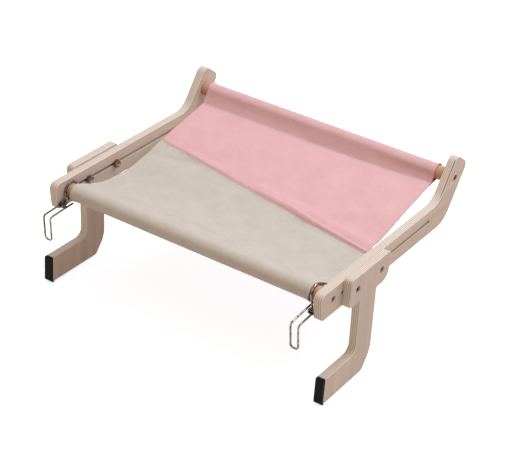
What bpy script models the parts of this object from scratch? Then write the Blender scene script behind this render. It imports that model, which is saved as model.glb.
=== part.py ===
"""Hanging cat bed: a canvas sling on two dowels between plywood arms, with sill hooks and wall legs.

Metres, +Z up. The bed stands out along +Y from the board that it hangs on, and X is across it.
The origin is where the hooks bear on the board's top edge, midway between the two hooks.
Outlines are drawn in a side view (Y, Z) measured from the front dowel's axis.
"""
import math

import bmesh
import bpy
from mathutils import Matrix, Vector

# Boards and clearances
PLY = 0.015                      # thickness of every plywood board
INNER_WIDTH = 0.512              # clear width between the two arms
TOUCH = 0.0003                   # gap left between pieces that touch
EDGE_BREAK = 0.0008              # sanded edge of the plywood
OVERRUN = 0.002                  # how far a cutter runs past the face it cuts

# Arm outline
ARM_TOP = 0.022                  # straight edge above the dowel's axis
ARM_BOTTOM = 0.027               # straight edge below the dowel's axis
NOSE_TOP_REACH = 0.038           # front end at the top edge
NOSE_BOTTOM_REACH = 0.030        # front end at the bottom edge
NOSE_TOP_ROUND = 0.012
NOSE_BOTTOM_ROUND = 0.007
UPRIGHT_TILT = math.radians(55.5)
UPRIGHT_HALF_WIDTH = 0.0255
UPRIGHT_END_REACH = 0.036        # from the rear dowel's axis to the arm's upper end
UPRIGHT_END_ROUND = 0.013
BEND_TOP_ROUND = 0.040
BEND_BOTTOM_ROUND = 0.045

# Dowels
DOWEL_RADIUS = 0.0125
REAR_AXIS_BACK = 0.388           # rear dowel behind the front one
REAR_AXIS_UP = 0.0505            # rear dowel above the front one
DOWEL_EDGE_BREAK = 0.001

# Bolts, washers, nuts and threaded inserts
BOLT_RADIUS = 0.003
BOLT_CLEARANCE = 0.0003          # radial
HEAD_RADIUS = 0.005
HEAD_HEIGHT = 0.005
HEAD_SINK = 0.0022               # bolt head below the board's face
SOCKET_ACROSS_FLATS = 0.005
SOCKET_DEPTH = 0.003
WASHER_RADIUS = 0.0062
WASHER_THICKNESS = 0.0012
COUNTERBORE_CLEARANCE = 0.0004   # radial, round the washer
NUT_ACROSS_FLATS = 0.013
NUT_HEIGHT = 0.0065
NUT_CHAMFER = 0.0008
BOLT_PAST_NUT = 0.001
INSERT_RADIUS = 0.005
INSERT_RIDGE = 0.0004            # raised ridges round the insert
INSERT_RIDGE_COUNT = 3
INSERT_LENGTH = 0.020
BOLT_IN_INSERT = 0.016           # how far a dowel bolt reaches into its insert

# Slot in each arm and the legs that slide along it
SLOT_FRONT = 0.022               # front end of the slot behind the front dowel's axis
SLOT_REAR = 0.310
LEG_REST_BACK = 0.0495           # front leg bolt behind the front dowel's axis
LEG_BOLT_SPACING = 0.074
PLATE_TOP = 0.0255               # leg's plate above its bolts
PLATE_BOTTOM = 0.0265
PLATE_FRONT_MARGIN = 0.0225      # plate in front of the front bolt
PLATE_REAR_MARGIN = 0.0245       # plate behind the rear bolt
PLATE_CORNER_ROUND = 0.008
PLATE_LOW_CORNER_ROUND = 0.006
PLATE_HEEL_ROUND = 0.021
STEM_FRONT = 0.0120              # stem's front edge behind the front bolt, at the plate
STEM_WIDTH = 0.0495
STEM_LEAN = 0.005                # how far the stem leans back towards the foot
STEM_FILLET = 0.003
FOOT_TOP_DROP = 0.131            # foot's upper edge below the bolts
FOOT_HEIGHT = 0.049
FOOT_REACH = 0.0745              # foot's end in front of the front bolt
FOOT_INNER_ROUND = 0.015
HEEL_CUT_BACK = 0.023            # heel's lower corner in front of the stem's back edge
HEEL_CUT_UP = 0.030
HEEL_ROUND = 0.045
HEEL_CORNER_ROUND = 0.009
FOOT_END_ROUND = 0.002

# Rubber foot pads
PAD_THICKNESS = 0.0065
PAD_LIP_THICKNESS = 0.002
PAD_LIP_LENGTH = 0.003
PAD_FRONT_RISE = 0.005           # pad's underside rises this far to its front
PAD_ROUND = 0.0018
PAD_FRONT_ROUND = 0.005
PAD_EDGE_BREAK = 0.0006

# Sill hooks of round wire and their clamps
WIRE_RADIUS = 0.00175
RING_CLEARANCE = 0.001           # between the dowel and the wire's ring
LEFT_HOOK_SWING = math.radians(2.5)    # how far each hook hangs down from level
RIGHT_HOOK_SWING = math.radians(5.0)
HOOK_LEG_SPACING = 0.014
HOOK_REACH = 0.0714              # from the dowel's axis to the down-turned end
HOOK_DROP = 0.062                # from the dowel's axis to the down-turned end's turn
HOOK_TIP_SET = 0.0022            # how far the down-turned end leans back
HOOK_BEND_ROUND = 0.005
HOOK_TIP_ROUND = 0.0055
RING_END_ANGLE = math.radians(165.0)
RING_TAIL_REACH = 0.0325         # wire's clamped end in front of the dowel's axis
RING_TAIL_ROUND = 0.003
HOOK_FREE_LEG_END = 0.0125       # end of the other leg in front of the dowel's axis
SILL_SETBACK = 0.060             # bearing point in front of the dowel's axis
CLAMP_REACH = 0.0272             # clamp's middle in front of the dowel's axis
CLAMP_PLATE_LENGTH = 0.008
CLAMP_PLATE_MARGIN = 0.0005      # plate past the outer side of each wire
CLAMP_PLATE_THICKNESS = 0.0012
CLAMP_SCREW_RADIUS = 0.00145
CLAMP_SCREW_PAST_NUT = 0.001
CLAMP_HEAD_RADIUS = 0.0028
CLAMP_HEAD_HEIGHT = 0.002
CLAMP_NUT_ACROSS_FLATS = 0.0055
CLAMP_NUT_HEIGHT = 0.0024
HOOK_SIDE_GAP = 0.0005           # clamp plate beside the arm

# Canvas sling
CLOTH = 0.0016
SLING_LEFT_GAP = 0.001           # sling's left edge beside the left hook's clamp
SLING_RIGHT_GAP = 0.0015         # sling's right edge beside the right hook
SLING_DRIFT = 0.002              # how far the sling sits further right behind its front sleeve
SLING_DRIFT_LENGTH = 0.080       # how far behind the dowel's axis that is reached
SLEEVE_CLEARANCE = 0.0004        # canvas off the top of the dowel
SLEEVE_SLACK = 0.0010            # how far the sleeve hangs below the dowel
SLING_SAG = 0.028
SLING_SKEW = 0.007               # the sling hangs lower in front of its middle
LEFT_EDGE_DROP = 0.004           # how far the front of each side edge hangs below the even sag
RIGHT_EDGE_DROP = 0.005
LEFT_DROP_SHARE = 0.6            # share of the way back over which each edge hangs lower
RIGHT_DROP_SHARE = 0.3
FRONT_STITCH_BACK = 0.024        # front sleeve's stitching behind the dowel's axis
STITCH_LAP = 0.009               # turned-in canvas under the sling
REAR_CREASE_REACH = 0.0313       # rear sleeve's stitching from the rear dowel's axis
REAR_CREASE_TIGHTENING = 0.0085  # how much nearer the stitching comes at the right edge
REAR_CREASE_TIGHTENS_FROM = 0.036    # where that starts, right of the sling's middle
REAR_CREASE_ANGLE = math.radians(215.0)
SEAM_LEFT_BACK = 0.236           # diagonal seam at the sling's left edge
SEAM_RIGHT_BACK = 0.157          # diagonal seam at the sling's right edge
FOLD_HEIGHT = 0.004              # tallest soft fold
FOLD_SPREAD = 0.014              # half-width of the widest soft fold
# Soft folds, each a straight stretch: start and end across, as shares of the sling's half
# width, each with its place back, as a share of the dowels' spacing; then height and spread.
FOLD_SHARES = (
    (-0.75, 0.594, 0.00, 0.544, 0.25, 0.50),
    (0.00, 0.546, 1.00, 0.459, 0.90, 0.85),
    (-0.96, 0.510, -0.62, 0.548, -0.55, 0.70),
    (-0.98, 0.260, -0.50, 0.440, 0.40, 1.00),
    (-0.20, 0.290, 0.08, 0.360, -0.35, 0.80),
    (0.04, 0.160, 0.42, 0.440, -0.45, 0.95),
    (0.24, 0.620, 0.46, 0.830, 0.35, 1.00),
    (0.52, 0.530, 0.86, 0.680, 0.40, 1.00),
)

# Mesh fineness
ARC_STEP = math.radians(9.0)
WIRE_ARC_STEP = math.radians(18.0)
ROUND_SIDES = 20
DOWEL_SIDES = 36
SLING_COLUMNS = 18
SLING_ROWS = 14
SLEEVE_ROWS = 14
WIRE_SIDES_RESOLUTION = 2

# Places worked out from the sizes above
ARM_INNER = INNER_WIDTH / 2
ARM_OUTER = ARM_INNER + PLY
LEG_INNER = ARM_OUTER + TOUCH
LEG_OUTER = LEG_INNER + PLY
RING_RADIUS = DOWEL_RADIUS + RING_CLEARANCE + WIRE_RADIUS
HOOK_HALF_WIDTH = HOOK_LEG_SPACING / 2 + WIRE_RADIUS + CLAMP_PLATE_MARGIN
HOOK_X = ARM_INNER - HOOK_SIDE_GAP - HOOK_HALF_WIDTH
CLAMP_INNER = WIRE_RADIUS + CLAMP_PLATE_MARGIN
SLING_LEFT = -(HOOK_X - CLAMP_INNER - SLING_LEFT_GAP)
SLING_RIGHT = HOOK_X - HOOK_HALF_WIDTH - SLING_RIGHT_GAP
SLING_HALF = (SLING_RIGHT - SLING_LEFT) / 2
SLING_MIDDLE = (SLING_RIGHT + SLING_LEFT) / 2
COUNTERBORE_DEPTH = HEAD_SINK + HEAD_HEIGHT + WASHER_THICKNESS + 2 * TOUCH
COUNTERBORE_RADIUS = WASHER_RADIUS + COUNTERBORE_CLEARANCE
BOLT_HOLE_RADIUS = BOLT_RADIUS + BOLT_CLEARANCE
REAR_AXIS = (REAR_AXIS_BACK, REAR_AXIS_UP)
LEFT, RIGHT = -1, 1

COLOURS = {
    "plywood": ((0.78, 0.66, 0.52), 0.62, 0.0),
    "dowel_beech": ((0.62, 0.37, 0.20), 0.50, 0.0),
    "canvas_beige": ((0.62, 0.56, 0.47), 0.90, 0.0),
    "canvas_pink": ((0.81, 0.46, 0.48), 0.90, 0.0),
    "chrome_wire": ((0.72, 0.70, 0.68), 0.18, 1.0),
    "bolt_steel": ((0.60, 0.58, 0.56), 0.25, 1.0),
    "zinc_steel": ((0.55, 0.54, 0.52), 0.35, 1.0),
    "brass": ((0.70, 0.52, 0.24), 0.35, 1.0),
    "rubber": ((0.02, 0.02, 0.02), 0.75, 0.0),
}


def bearing_depth(swing):
    """How far below the dowel's axis a hook bears on the board's top edge."""
    return (RING_RADIUS + WIRE_RADIUS) / math.cos(swing) + SILL_SETBACK * math.tan(swing)


AXIS_BACK = SILL_SETBACK
AXIS_UP = (bearing_depth(LEFT_HOOK_SWING) + bearing_depth(RIGHT_HOOK_SWING)) / 2


# Shared helpers
def clear_scene():
    """Remove whatever objects the file holds."""
    for obj in list(bpy.data.objects):
        bpy.data.objects.remove(obj, do_unlink=True)


def material(name):
    """One Principled material for each finish."""
    found = bpy.data.materials.get(name)
    if found:
        return found
    colour, roughness, metallic = COLOURS[name]
    made = bpy.data.materials.new(name)
    made.use_nodes = True
    shader = made.node_tree.nodes["Principled BSDF"]
    shader.inputs["Base Color"].default_value = (*colour, 1.0)
    shader.inputs["Roughness"].default_value = roughness
    shader.inputs["Metallic"].default_value = metallic
    return made


def add_empty(name, location):
    """A bare axis that moving pieces are parented to."""
    empty = bpy.data.objects.new(name, None)
    empty.location = location
    bpy.context.collection.objects.link(empty)
    return empty


def add_object(name, data, finish=None, location=(0, 0, 0), parent=None):
    """Link a mesh or curve as an object, with its finish and its parent."""
    obj = bpy.data.objects.new(name, data)
    obj.location = location
    obj.parent = parent
    if finish:
        data.materials.append(material(finish))
    bpy.context.collection.objects.link(obj)
    return obj


def to_mesh(bm, name, sharp=math.radians(35.0)):
    """Turn a bmesh into a smooth-shaded mesh with outward faces and sharp edges kept."""
    bmesh.ops.recalc_face_normals(bm, faces=bm.faces)
    mesh = bpy.data.meshes.new(name)
    bm.to_mesh(mesh)
    bm.free()
    mesh.shade_smooth()
    mesh.set_sharp_from_angle(angle=sharp)
    return mesh


def rounded_outline(corners, step=ARC_STEP):
    """Points of a closed outline whose corners (y, z, radius) are turned into arcs."""
    points = []
    for index, (y, z, radius) in enumerate(corners):
        here = Vector((y, z))
        before = Vector(corners[index - 1][:2])
        after = Vector(corners[(index + 1) % len(corners)][:2])
        points.extend(corner_arc(before, here, after, radius, step))
    return points


def corner_arc(before, here, after, radius, step):
    """Points of the arc of the given radius that rounds the corner at here."""
    inward = (here - before).normalized()
    outward = (after - here).normalized()
    turn = inward.angle_signed(outward)
    if radius == 0 or abs(turn) < step / 2:
        return [here]
    reach = radius * math.tan(abs(turn) / 2)
    start = here - inward * reach
    side = Vector((-inward.y, inward.x)) * (-1 if turn > 0 else 1)
    centre = start + side * radius
    count = max(2, math.ceil(abs(turn) / step))
    arm = start - centre
    return [centre + Matrix.Rotation(-turn * i / count, 2) @ arm for i in range(count + 1)]


def prism(outline, low, high):
    """Closed solid of a (y, z) outline extruded along X from low to high."""
    bm = bmesh.new()
    verts = [bm.verts.new((low, y, z)) for y, z in outline]
    face = bm.faces.new(verts)
    grown = bmesh.ops.extrude_face_region(bm, geom=[face])
    moved = [item for item in grown["geom"] if isinstance(item, bmesh.types.BMVert)]
    bmesh.ops.translate(bm, vec=(high - low, 0, 0), verts=moved)
    return bm


def turned(profile, sides=ROUND_SIDES):
    """Closed solid turned round the X axis from a closed profile of (x, radius)."""
    bm = bmesh.new()
    verts = [bm.verts.new((x, radius, 0)) for x, radius in profile]
    edges = [bm.edges.new((a, b)) for a, b in zip(verts, verts[1:])]
    if profile[0][1] > 0:
        edges.append(bm.edges.new((verts[-1], verts[0])))
    bmesh.ops.spin(bm, geom=verts + edges, cent=(0, 0, 0), axis=(1, 0, 0),
                   angle=math.tau, steps=sides, use_merge=True)
    bmesh.ops.remove_doubles(bm, verts=bm.verts, dist=TOUCH / 100)
    return bm


def ring_profile(low, high, inner, outer):
    """Profile of a plain ring from x = low to x = high."""
    return [(low, inner), (high, inner), (high, outer), (low, outer)]


def hexagon_prism(across_flats, low, high, turn=0.0):
    """Hexagonal bar along X, its flats square to Z when turn is zero."""
    radius = across_flats / math.sqrt(3)
    angles = [turn + math.tau * i / 6 for i in range(6)]
    return prism([(radius * math.cos(a), radius * math.sin(a)) for a in angles], low, high)


def cut(target, cutter_mesh, name, location=(0, 0, 0)):
    """Cut a hidden wire-frame cutter out of the target with a Boolean modifier."""
    cutter = add_object(name, cutter_mesh, location=location, parent=target.parent)
    cutter.hide_render = True
    cutter.display_type = "WIRE"
    modifier = target.modifiers.new(name, "BOOLEAN")
    modifier.operation = "DIFFERENCE"
    modifier.solver = "EXACT"
    modifier.object = cutter


def break_edges(obj, width):
    """Round the sharp edges of a board by the given width."""
    bevel = obj.modifiers.new("sanded_edges", "BEVEL")
    bevel.width = width
    bevel.segments = 1
    bevel.limit_method = "ANGLE"
    bevel.angle_limit = math.radians(50.0)


# Places in the side view
def from_axis(y, z):
    """A side-view place measured from the front dowel's axis, as world Y and Z."""
    return y + AXIS_BACK, z + AXIS_UP


def beside(side, x, y=0.0, z=0.0):
    """World place at x from the middle on one side, y and z from the front dowel's axis."""
    return (side * x, *from_axis(y, z))


# Plywood arms
def arm_outline():
    """Side view of an arm: a straight stretch that bends up to the rear dowel."""
    along = Vector((math.cos(UPRIGHT_TILT), math.sin(UPRIGHT_TILT)))
    across = Vector((along.y, -along.x)) * UPRIGHT_HALF_WIDTH
    rear = Vector(REAR_AXIS)
    end = rear + along * UPRIGHT_END_REACH

    def meets(start, height):
        return start.x + (height - start.y) / math.tan(UPRIGHT_TILT)

    return rounded_outline([
        (-NOSE_TOP_REACH, ARM_TOP, NOSE_TOP_ROUND),
        (-NOSE_BOTTOM_REACH, -ARM_BOTTOM, NOSE_BOTTOM_ROUND),
        (meets(rear + across, -ARM_BOTTOM), -ARM_BOTTOM, BEND_BOTTOM_ROUND),
        (*(end + across), UPRIGHT_END_ROUND),
        (*(end - across), UPRIGHT_END_ROUND),
        (meets(rear - across, ARM_TOP), ARM_TOP, BEND_TOP_ROUND),
    ])


def stepped_hole(side):
    """Cutter for a bolt hole with a counterbore, its mouth at x = 0 on the outer face."""
    profile = [(-PLY - OVERRUN, 0.0), (-PLY - OVERRUN, BOLT_HOLE_RADIUS),
               (-COUNTERBORE_DEPTH, BOLT_HOLE_RADIUS), (-COUNTERBORE_DEPTH, COUNTERBORE_RADIUS),
               (OVERRUN, COUNTERBORE_RADIUS), (OVERRUN, 0.0)]
    return turned([(side * x, radius) for x, radius in profile])


def slot_outline():
    """Side view of the round-ended slot that the leg bolts slide in."""
    half = BOLT_HOLE_RADIUS
    return rounded_outline([(SLOT_FRONT, half, half), (SLOT_FRONT, -half, half),
                            (SLOT_REAR, -half, half), (SLOT_REAR, half, half)])


def build_arm(side, label):
    """One arm with its slot and its two dowel bolt holes."""
    bm = prism(arm_outline(), side * ARM_INNER, side * ARM_OUTER)
    arm = add_object(f"{label}_arm", to_mesh(bm, f"{label}_arm"), "plywood", beside(side, 0))
    break_edges(arm, EDGE_BREAK)
    slot = prism(slot_outline(), side * (ARM_INNER - OVERRUN), side * (ARM_OUTER + OVERRUN))
    cut(arm, to_mesh(slot, "slot_cutter"), f"{label}_slot_cutter", beside(side, 0))
    for name, (y, z) in (("front", (0, 0)), ("rear", REAR_AXIS)):
        hole = to_mesh(stepped_hole(side), "dowel_hole_cutter")
        cut(arm, hole, f"{label}_{name}_hole_cutter", beside(side, ARM_OUTER, y, z))


# Dowels and what fastens them
def build_dowel(label, y, z):
    """A round dowel with a bore in each end for its threaded insert."""
    half = ARM_INNER - TOUCH
    bore = INSERT_RADIUS + INSERT_RIDGE + TOUCH
    deep = half - INSERT_LENGTH - 2 * TOUCH
    corner = DOWEL_RADIUS - DOWEL_EDGE_BREAK
    right_end = [(deep, 0.0), (deep, bore), (half, bore), (half, corner),
                 (half - DOWEL_EDGE_BREAK, DOWEL_RADIUS)]
    left_end = [(-x, radius) for x, radius in reversed(right_end)]
    mesh = to_mesh(turned(right_end + left_end, DOWEL_SIDES), f"{label}_dowel")
    add_object(f"{label}_dowel", mesh, "dowel_beech", beside(RIGHT, 0, y, z))


def insert_profile():
    """Profile of a threaded insert, its mouth at x = 0 and its body towards -x."""
    inner = BOLT_RADIUS + BOLT_CLEARANCE
    points = [(0.0, inner), (0.0, INSERT_RADIUS)]
    pitch = INSERT_LENGTH / (INSERT_RIDGE_COUNT + 1)
    for index in range(1, INSERT_RIDGE_COUNT + 1):
        middle = -pitch * index
        points += [(middle + pitch / 4, INSERT_RADIUS), (middle, INSERT_RADIUS + INSERT_RIDGE),
                   (middle - pitch / 4, INSERT_RADIUS)]
    return points + [(-INSERT_LENGTH, INSERT_RADIUS), (-INSERT_LENGTH, inner)]


def bolt_profile(shank):
    """Profile of a bolt whose head's top is at x = 0 and whose shank runs towards -x."""
    tip = HEAD_HEIGHT + shank
    taper = BOLT_RADIUS / 4
    return [(0.0, 0.0), (0.0, HEAD_RADIUS - taper), (-taper, HEAD_RADIUS),
            (-HEAD_HEIGHT, HEAD_RADIUS), (-HEAD_HEIGHT, BOLT_RADIUS),
            (taper - tip, BOLT_RADIUS), (-tip, BOLT_RADIUS - taper), (-tip, 0.0)]


def mirrored(profile, side):
    """A profile turned to face the given side."""
    return [(side * x, radius) for x, radius in profile]


def build_bolt(name, side, place, shank, parent=None):
    """A hexagon-socket bolt; place is the middle of its head's top."""
    mesh = to_mesh(turned(mirrored(bolt_profile(shank), side)), name)
    bolt = add_object(name, mesh, "bolt_steel", place, parent)
    socket = hexagon_prism(SOCKET_ACROSS_FLATS, -side * SOCKET_DEPTH, side * OVERRUN)
    cut(bolt, to_mesh(socket, "socket_cutter"), f"{name}_socket_cutter", place)


def build_washer(name, side, place, parent=None):
    """A flat washer; place is the middle of the face under the bolt's head."""
    profile = ring_profile(-WASHER_THICKNESS, 0.0, BOLT_HOLE_RADIUS, WASHER_RADIUS)
    add_object(name, to_mesh(turned(mirrored(profile, side)), name), "zinc_steel", place, parent)


def build_nut(name, side, place, parent=None):
    """A hexagon nut on an arm's inner face; place is the middle of the seated face."""
    nut = add_object(name, to_mesh(hexagon_prism(NUT_ACROSS_FLATS, 0.0, -side * NUT_HEIGHT), name),
                     "zinc_steel", place, parent)
    break_edges(nut, NUT_CHAMFER)
    nut.modifiers[-1].angle_limit = math.radians(70.0)
    bore = turned(mirrored([(-NUT_HEIGHT - OVERRUN, 0.0), (-NUT_HEIGHT - OVERRUN, BOLT_HOLE_RADIUS),
                            (OVERRUN, BOLT_HOLE_RADIUS), (OVERRUN, 0.0)], side))
    cut(nut, to_mesh(bore, "nut_bore_cutter"), f"{name}_bore_cutter", place)


def build_dowel_fastener(side, label, y, z):
    """The bolt, washer and threaded insert that hold one end of one dowel."""
    head_top = ARM_OUTER - HEAD_SINK
    washer_face = head_top - HEAD_HEIGHT - TOUCH
    mouth = ARM_INNER - TOUCH
    shank = head_top - HEAD_HEIGHT - (mouth - BOLT_IN_INSERT)
    build_bolt(f"{label}_dowel_bolt", side, beside(side, head_top, y, z), shank)
    build_washer(f"{label}_dowel_washer", side, beside(side, washer_face, y, z))
    mesh = to_mesh(turned(mirrored(insert_profile(), side)), f"{label}_dowel_insert")
    add_object(f"{label}_dowel_insert", mesh, "brass", beside(side, mouth, y, z))


# Legs, with places measured from the front leg bolt
def leg_outline():
    """Side view of a leg: a plate on the arm, a stem down and a foot forward to the wall."""
    plate_rear = LEG_BOLT_SPACING + PLATE_REAR_MARGIN
    foot_bottom = -FOOT_TOP_DROP - FOOT_HEIGHT
    stem_back = STEM_FRONT + STEM_WIDTH
    low_front = STEM_FRONT + STEM_LEAN
    low_back = stem_back + STEM_LEAN
    return rounded_outline([
        (-PLATE_FRONT_MARGIN, PLATE_TOP, PLATE_CORNER_ROUND),
        (-PLATE_FRONT_MARGIN, -PLATE_BOTTOM, PLATE_LOW_CORNER_ROUND),
        (STEM_FRONT, -PLATE_BOTTOM, STEM_FILLET),
        (low_front, -FOOT_TOP_DROP, FOOT_INNER_ROUND),
        (-FOOT_REACH, -FOOT_TOP_DROP, FOOT_END_ROUND),
        (-FOOT_REACH, foot_bottom, FOOT_END_ROUND),
        (low_back - HEEL_CUT_BACK, foot_bottom, HEEL_CORNER_ROUND),
        (low_back, foot_bottom + HEEL_CUT_UP, HEEL_ROUND),
        (stem_back, -PLATE_BOTTOM, STEM_FILLET),
        (plate_rear, -PLATE_BOTTOM, PLATE_HEEL_ROUND),
        (plate_rear, PLATE_TOP, PLATE_LOW_CORNER_ROUND),
    ])


def pad_outline():
    """Side view of a foot pad: a block on the foot's end with a lip under its lower corner."""
    front = -FOOT_REACH - TOUCH - PAD_THICKNESS
    back = -FOOT_REACH - TOUCH
    top = -FOOT_TOP_DROP
    under = -FOOT_TOP_DROP - FOOT_HEIGHT - TOUCH
    low = under - PAD_LIP_THICKNESS
    lip = back + PAD_LIP_LENGTH
    return rounded_outline([
        (front, top, PAD_ROUND), (front, low + PAD_FRONT_RISE, PAD_FRONT_ROUND),
        (back, low, PAD_FRONT_ROUND), (lip, low, 0),
        (lip, under, 0), (back, under, 0), (back, top, 0),
    ])


def build_leg(side, label):
    """One leg with its pad and the two bolts, washers and nuts that slide with it."""
    axis = add_empty(f"{label}_leg_axis", beside(RIGHT, 0, LEG_REST_BACK))
    bm = prism(leg_outline(), side * LEG_INNER, side * LEG_OUTER)
    leg = add_object(f"{label}_leg", to_mesh(bm, f"{label}_leg"), "plywood", parent=axis)
    break_edges(leg, EDGE_BREAK)
    pad = prism(pad_outline(), side * LEG_INNER, side * LEG_OUTER)
    pad = add_object(f"{label}_foot_pad", to_mesh(pad, f"{label}_foot_pad"), "rubber", parent=axis)
    break_edges(pad, PAD_EDGE_BREAK)
    head_top = LEG_OUTER - HEAD_SINK
    washer_face = head_top - HEAD_HEIGHT - TOUCH
    nut_face = ARM_INNER - TOUCH
    shank = head_top - HEAD_HEIGHT - (nut_face - NUT_HEIGHT - BOLT_PAST_NUT)
    for name, y in (("front", 0.0), ("rear", LEG_BOLT_SPACING)):
        stem = f"{label}_{name}_leg"
        hole = to_mesh(stepped_hole(side), "leg_hole_cutter")
        cut(leg, hole, f"{stem}_hole_cutter", (side * LEG_OUTER, y, 0))
        build_bolt(f"{stem}_bolt", side, (side * head_top, y, 0), shank, axis)
        build_washer(f"{stem}_washer", side, (side * washer_face, y, 0), axis)
        build_nut(f"{stem}_nut", side, (side * nut_face, y, 0), axis)


# Wire hooks, with places measured from the dowel's axis and the hook's middle
def hook_path():
    """Points of the hook's wire, from the end of its free leg to its clamped end."""
    half = HOOK_LEG_SPACING / 2
    tip_y = HOOK_TIP_SET - HOOK_REACH
    corners = [
        ((half, -HOOK_FREE_LEG_END, -RING_RADIUS), 0.0),
        ((half, -HOOK_REACH, -RING_RADIUS), HOOK_BEND_ROUND),
        ((half, tip_y, -HOOK_DROP), HOOK_TIP_ROUND),
        ((-half, tip_y, -HOOK_DROP), HOOK_TIP_ROUND),
        ((-half, -HOOK_REACH, -RING_RADIUS), HOOK_BEND_ROUND),
        ((-half, 0.0, -RING_RADIUS), 0.0),
    ]
    points = rounded_route(corners)[:-1]
    start = -math.pi / 2
    steps = math.ceil((RING_END_ANGLE - start) / WIRE_ARC_STEP)
    for index in range(steps + 1):
        angle = start + (RING_END_ANGLE - start) * index / steps
        points.append(Vector((-half, RING_RADIUS * math.cos(angle), RING_RADIUS * math.sin(angle))))
    return points + ring_tail(points[-1])


def ring_tail(start):
    """The wire's last stretch, from the ring down to the hook's middle and into the clamp."""
    heading = Vector((0.0, -math.sin(RING_END_ANGLE), math.cos(RING_END_ANGLE)))
    below = start + heading * (-RING_RADIUS - start.z) / heading.z
    corner = (0.0, below.y, -RING_RADIUS)
    end = (0.0, -RING_TAIL_REACH, -RING_RADIUS)
    return rounded_route([(start, 0.0), (corner, RING_TAIL_ROUND), (end, 0.0)])[1:]


def rounded_route(corners):
    """Points of an open route in space whose corners (place, radius) are turned into arcs."""
    points = [Vector(corners[0][0])]
    for (before, _), (here, radius), (after, _) in zip(corners, corners[1:], corners[2:]):
        here = Vector(here)
        back = (Vector(before) - here).normalized()
        ahead = (Vector(after) - here).normalized()
        opening = back.angle(ahead)
        reach = radius / math.tan(opening / 2)
        centre = here + (back + ahead).normalized() * radius / math.sin(opening / 2)
        count = max(2, math.ceil((math.pi - opening) / WIRE_ARC_STEP))
        axis = back.cross(ahead)
        arm = here + back * reach - centre
        turn = (math.pi - opening) / count
        points += [centre + Matrix.Rotation(-turn * i, 3, axis) @ arm for i in range(count + 1)]
    return points + [Vector(corners[-1][0])]


def least_gap(points, skip):
    """Least distance between stretches of the wire that lie apart along it, less its diameter."""
    gap = math.inf
    for first, a in enumerate(points):
        for b in points[first + skip:]:
            gap = min(gap, (a - b).length - 2 * WIRE_RADIUS)
    return gap


def build_hook(side, label, swing):
    """One sill hook with its clamp; both hooks are bent the same way from the same wire."""
    axis = add_empty(f"{label}_hook_axis", beside(side, HOOK_X))
    axis.rotation_euler = (swing, 0.0, 0.0)
    points = hook_path()
    curve = bpy.data.curves.new(f"{label}_hook", "CURVE")
    curve.dimensions = "3D"
    curve.bevel_depth = WIRE_RADIUS
    curve.bevel_resolution = WIRE_SIDES_RESOLUTION
    curve.use_fill_caps = True
    spline = curve.splines.new("POLY")
    spline.points.add(len(points) - 1)
    for target, point in zip(spline.points, points):
        target.co = (*point, 1.0)
    add_object(f"{label}_hook", curve, "chrome_wire", parent=axis)
    build_clamp(side, label, axis)
    return points


def build_clamp(side, label, axis):
    """Two plates, a screw and a nut that grip the ring's tail and the leg beside the arm."""
    middle = add_empty(f"{label}_clamp_middle", (0.0, -CLAMP_REACH, -RING_RADIUS))
    middle.parent = axis
    near = WIRE_RADIUS + TOUCH
    far = near + CLAMP_PLATE_THICKNESS
    screw_x = side * HOOK_LEG_SPACING / 4
    for name, level in (("upper", near), ("lower", -far)):
        build_clamp_plate(f"{label}_hook_{name}_plate", side, level, screw_x, middle)
    build_clamp_screw(f"{label}_hook_screw", far, screw_x, middle)
    build_clamp_nut(f"{label}_hook_nut", far, screw_x, middle)


def stand_up(bm):
    """Turn a solid made along X so that it stands along Z."""
    bmesh.ops.rotate(bm, verts=bm.verts, cent=(0, 0, 0), matrix=Matrix.Rotation(-math.pi / 2, 3, "Y"))
    return bm


def build_clamp_plate(name, side, level, screw_x, parent):
    """A flat plate over one leg and the ring's tail, with its screw hole."""
    half = CLAMP_PLATE_LENGTH / 2
    outline = [(half, level), (half, level + CLAMP_PLATE_THICKNESS),
               (-half, level + CLAMP_PLATE_THICKNESS), (-half, level)]
    bm = prism(outline, -side * CLAMP_INNER, side * HOOK_HALF_WIDTH)
    plate = add_object(name, to_mesh(bm, name), "zinc_steel", parent=parent)
    radius = CLAMP_SCREW_RADIUS + BOLT_CLEARANCE
    low, high = level - OVERRUN, level + CLAMP_PLATE_THICKNESS + OVERRUN
    hole = stand_up(turned([(low, 0.0), (low, radius), (high, radius), (high, 0.0)]))
    cut(plate, to_mesh(hole, "plate_hole_cutter"), f"{name}_hole_cutter", (screw_x, 0.0, 0.0))


def build_clamp_screw(name, far, screw_x, parent):
    """A screw up through both plates, its round head below."""
    seat = -far - TOUCH
    tip = far + TOUCH + CLAMP_NUT_HEIGHT + CLAMP_SCREW_PAST_NUT
    rim = CLAMP_HEAD_HEIGHT / 3
    profile = [(seat - CLAMP_HEAD_HEIGHT, 0.0), (seat - CLAMP_HEAD_HEIGHT, CLAMP_HEAD_RADIUS - rim),
               (seat - CLAMP_HEAD_HEIGHT + rim, CLAMP_HEAD_RADIUS), (seat, CLAMP_HEAD_RADIUS),
               (seat, CLAMP_SCREW_RADIUS), (tip, CLAMP_SCREW_RADIUS), (tip, 0.0)]
    mesh = to_mesh(stand_up(turned(profile)), name)
    add_object(name, mesh, "bolt_steel", (screw_x, 0.0, 0.0), parent)


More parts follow.
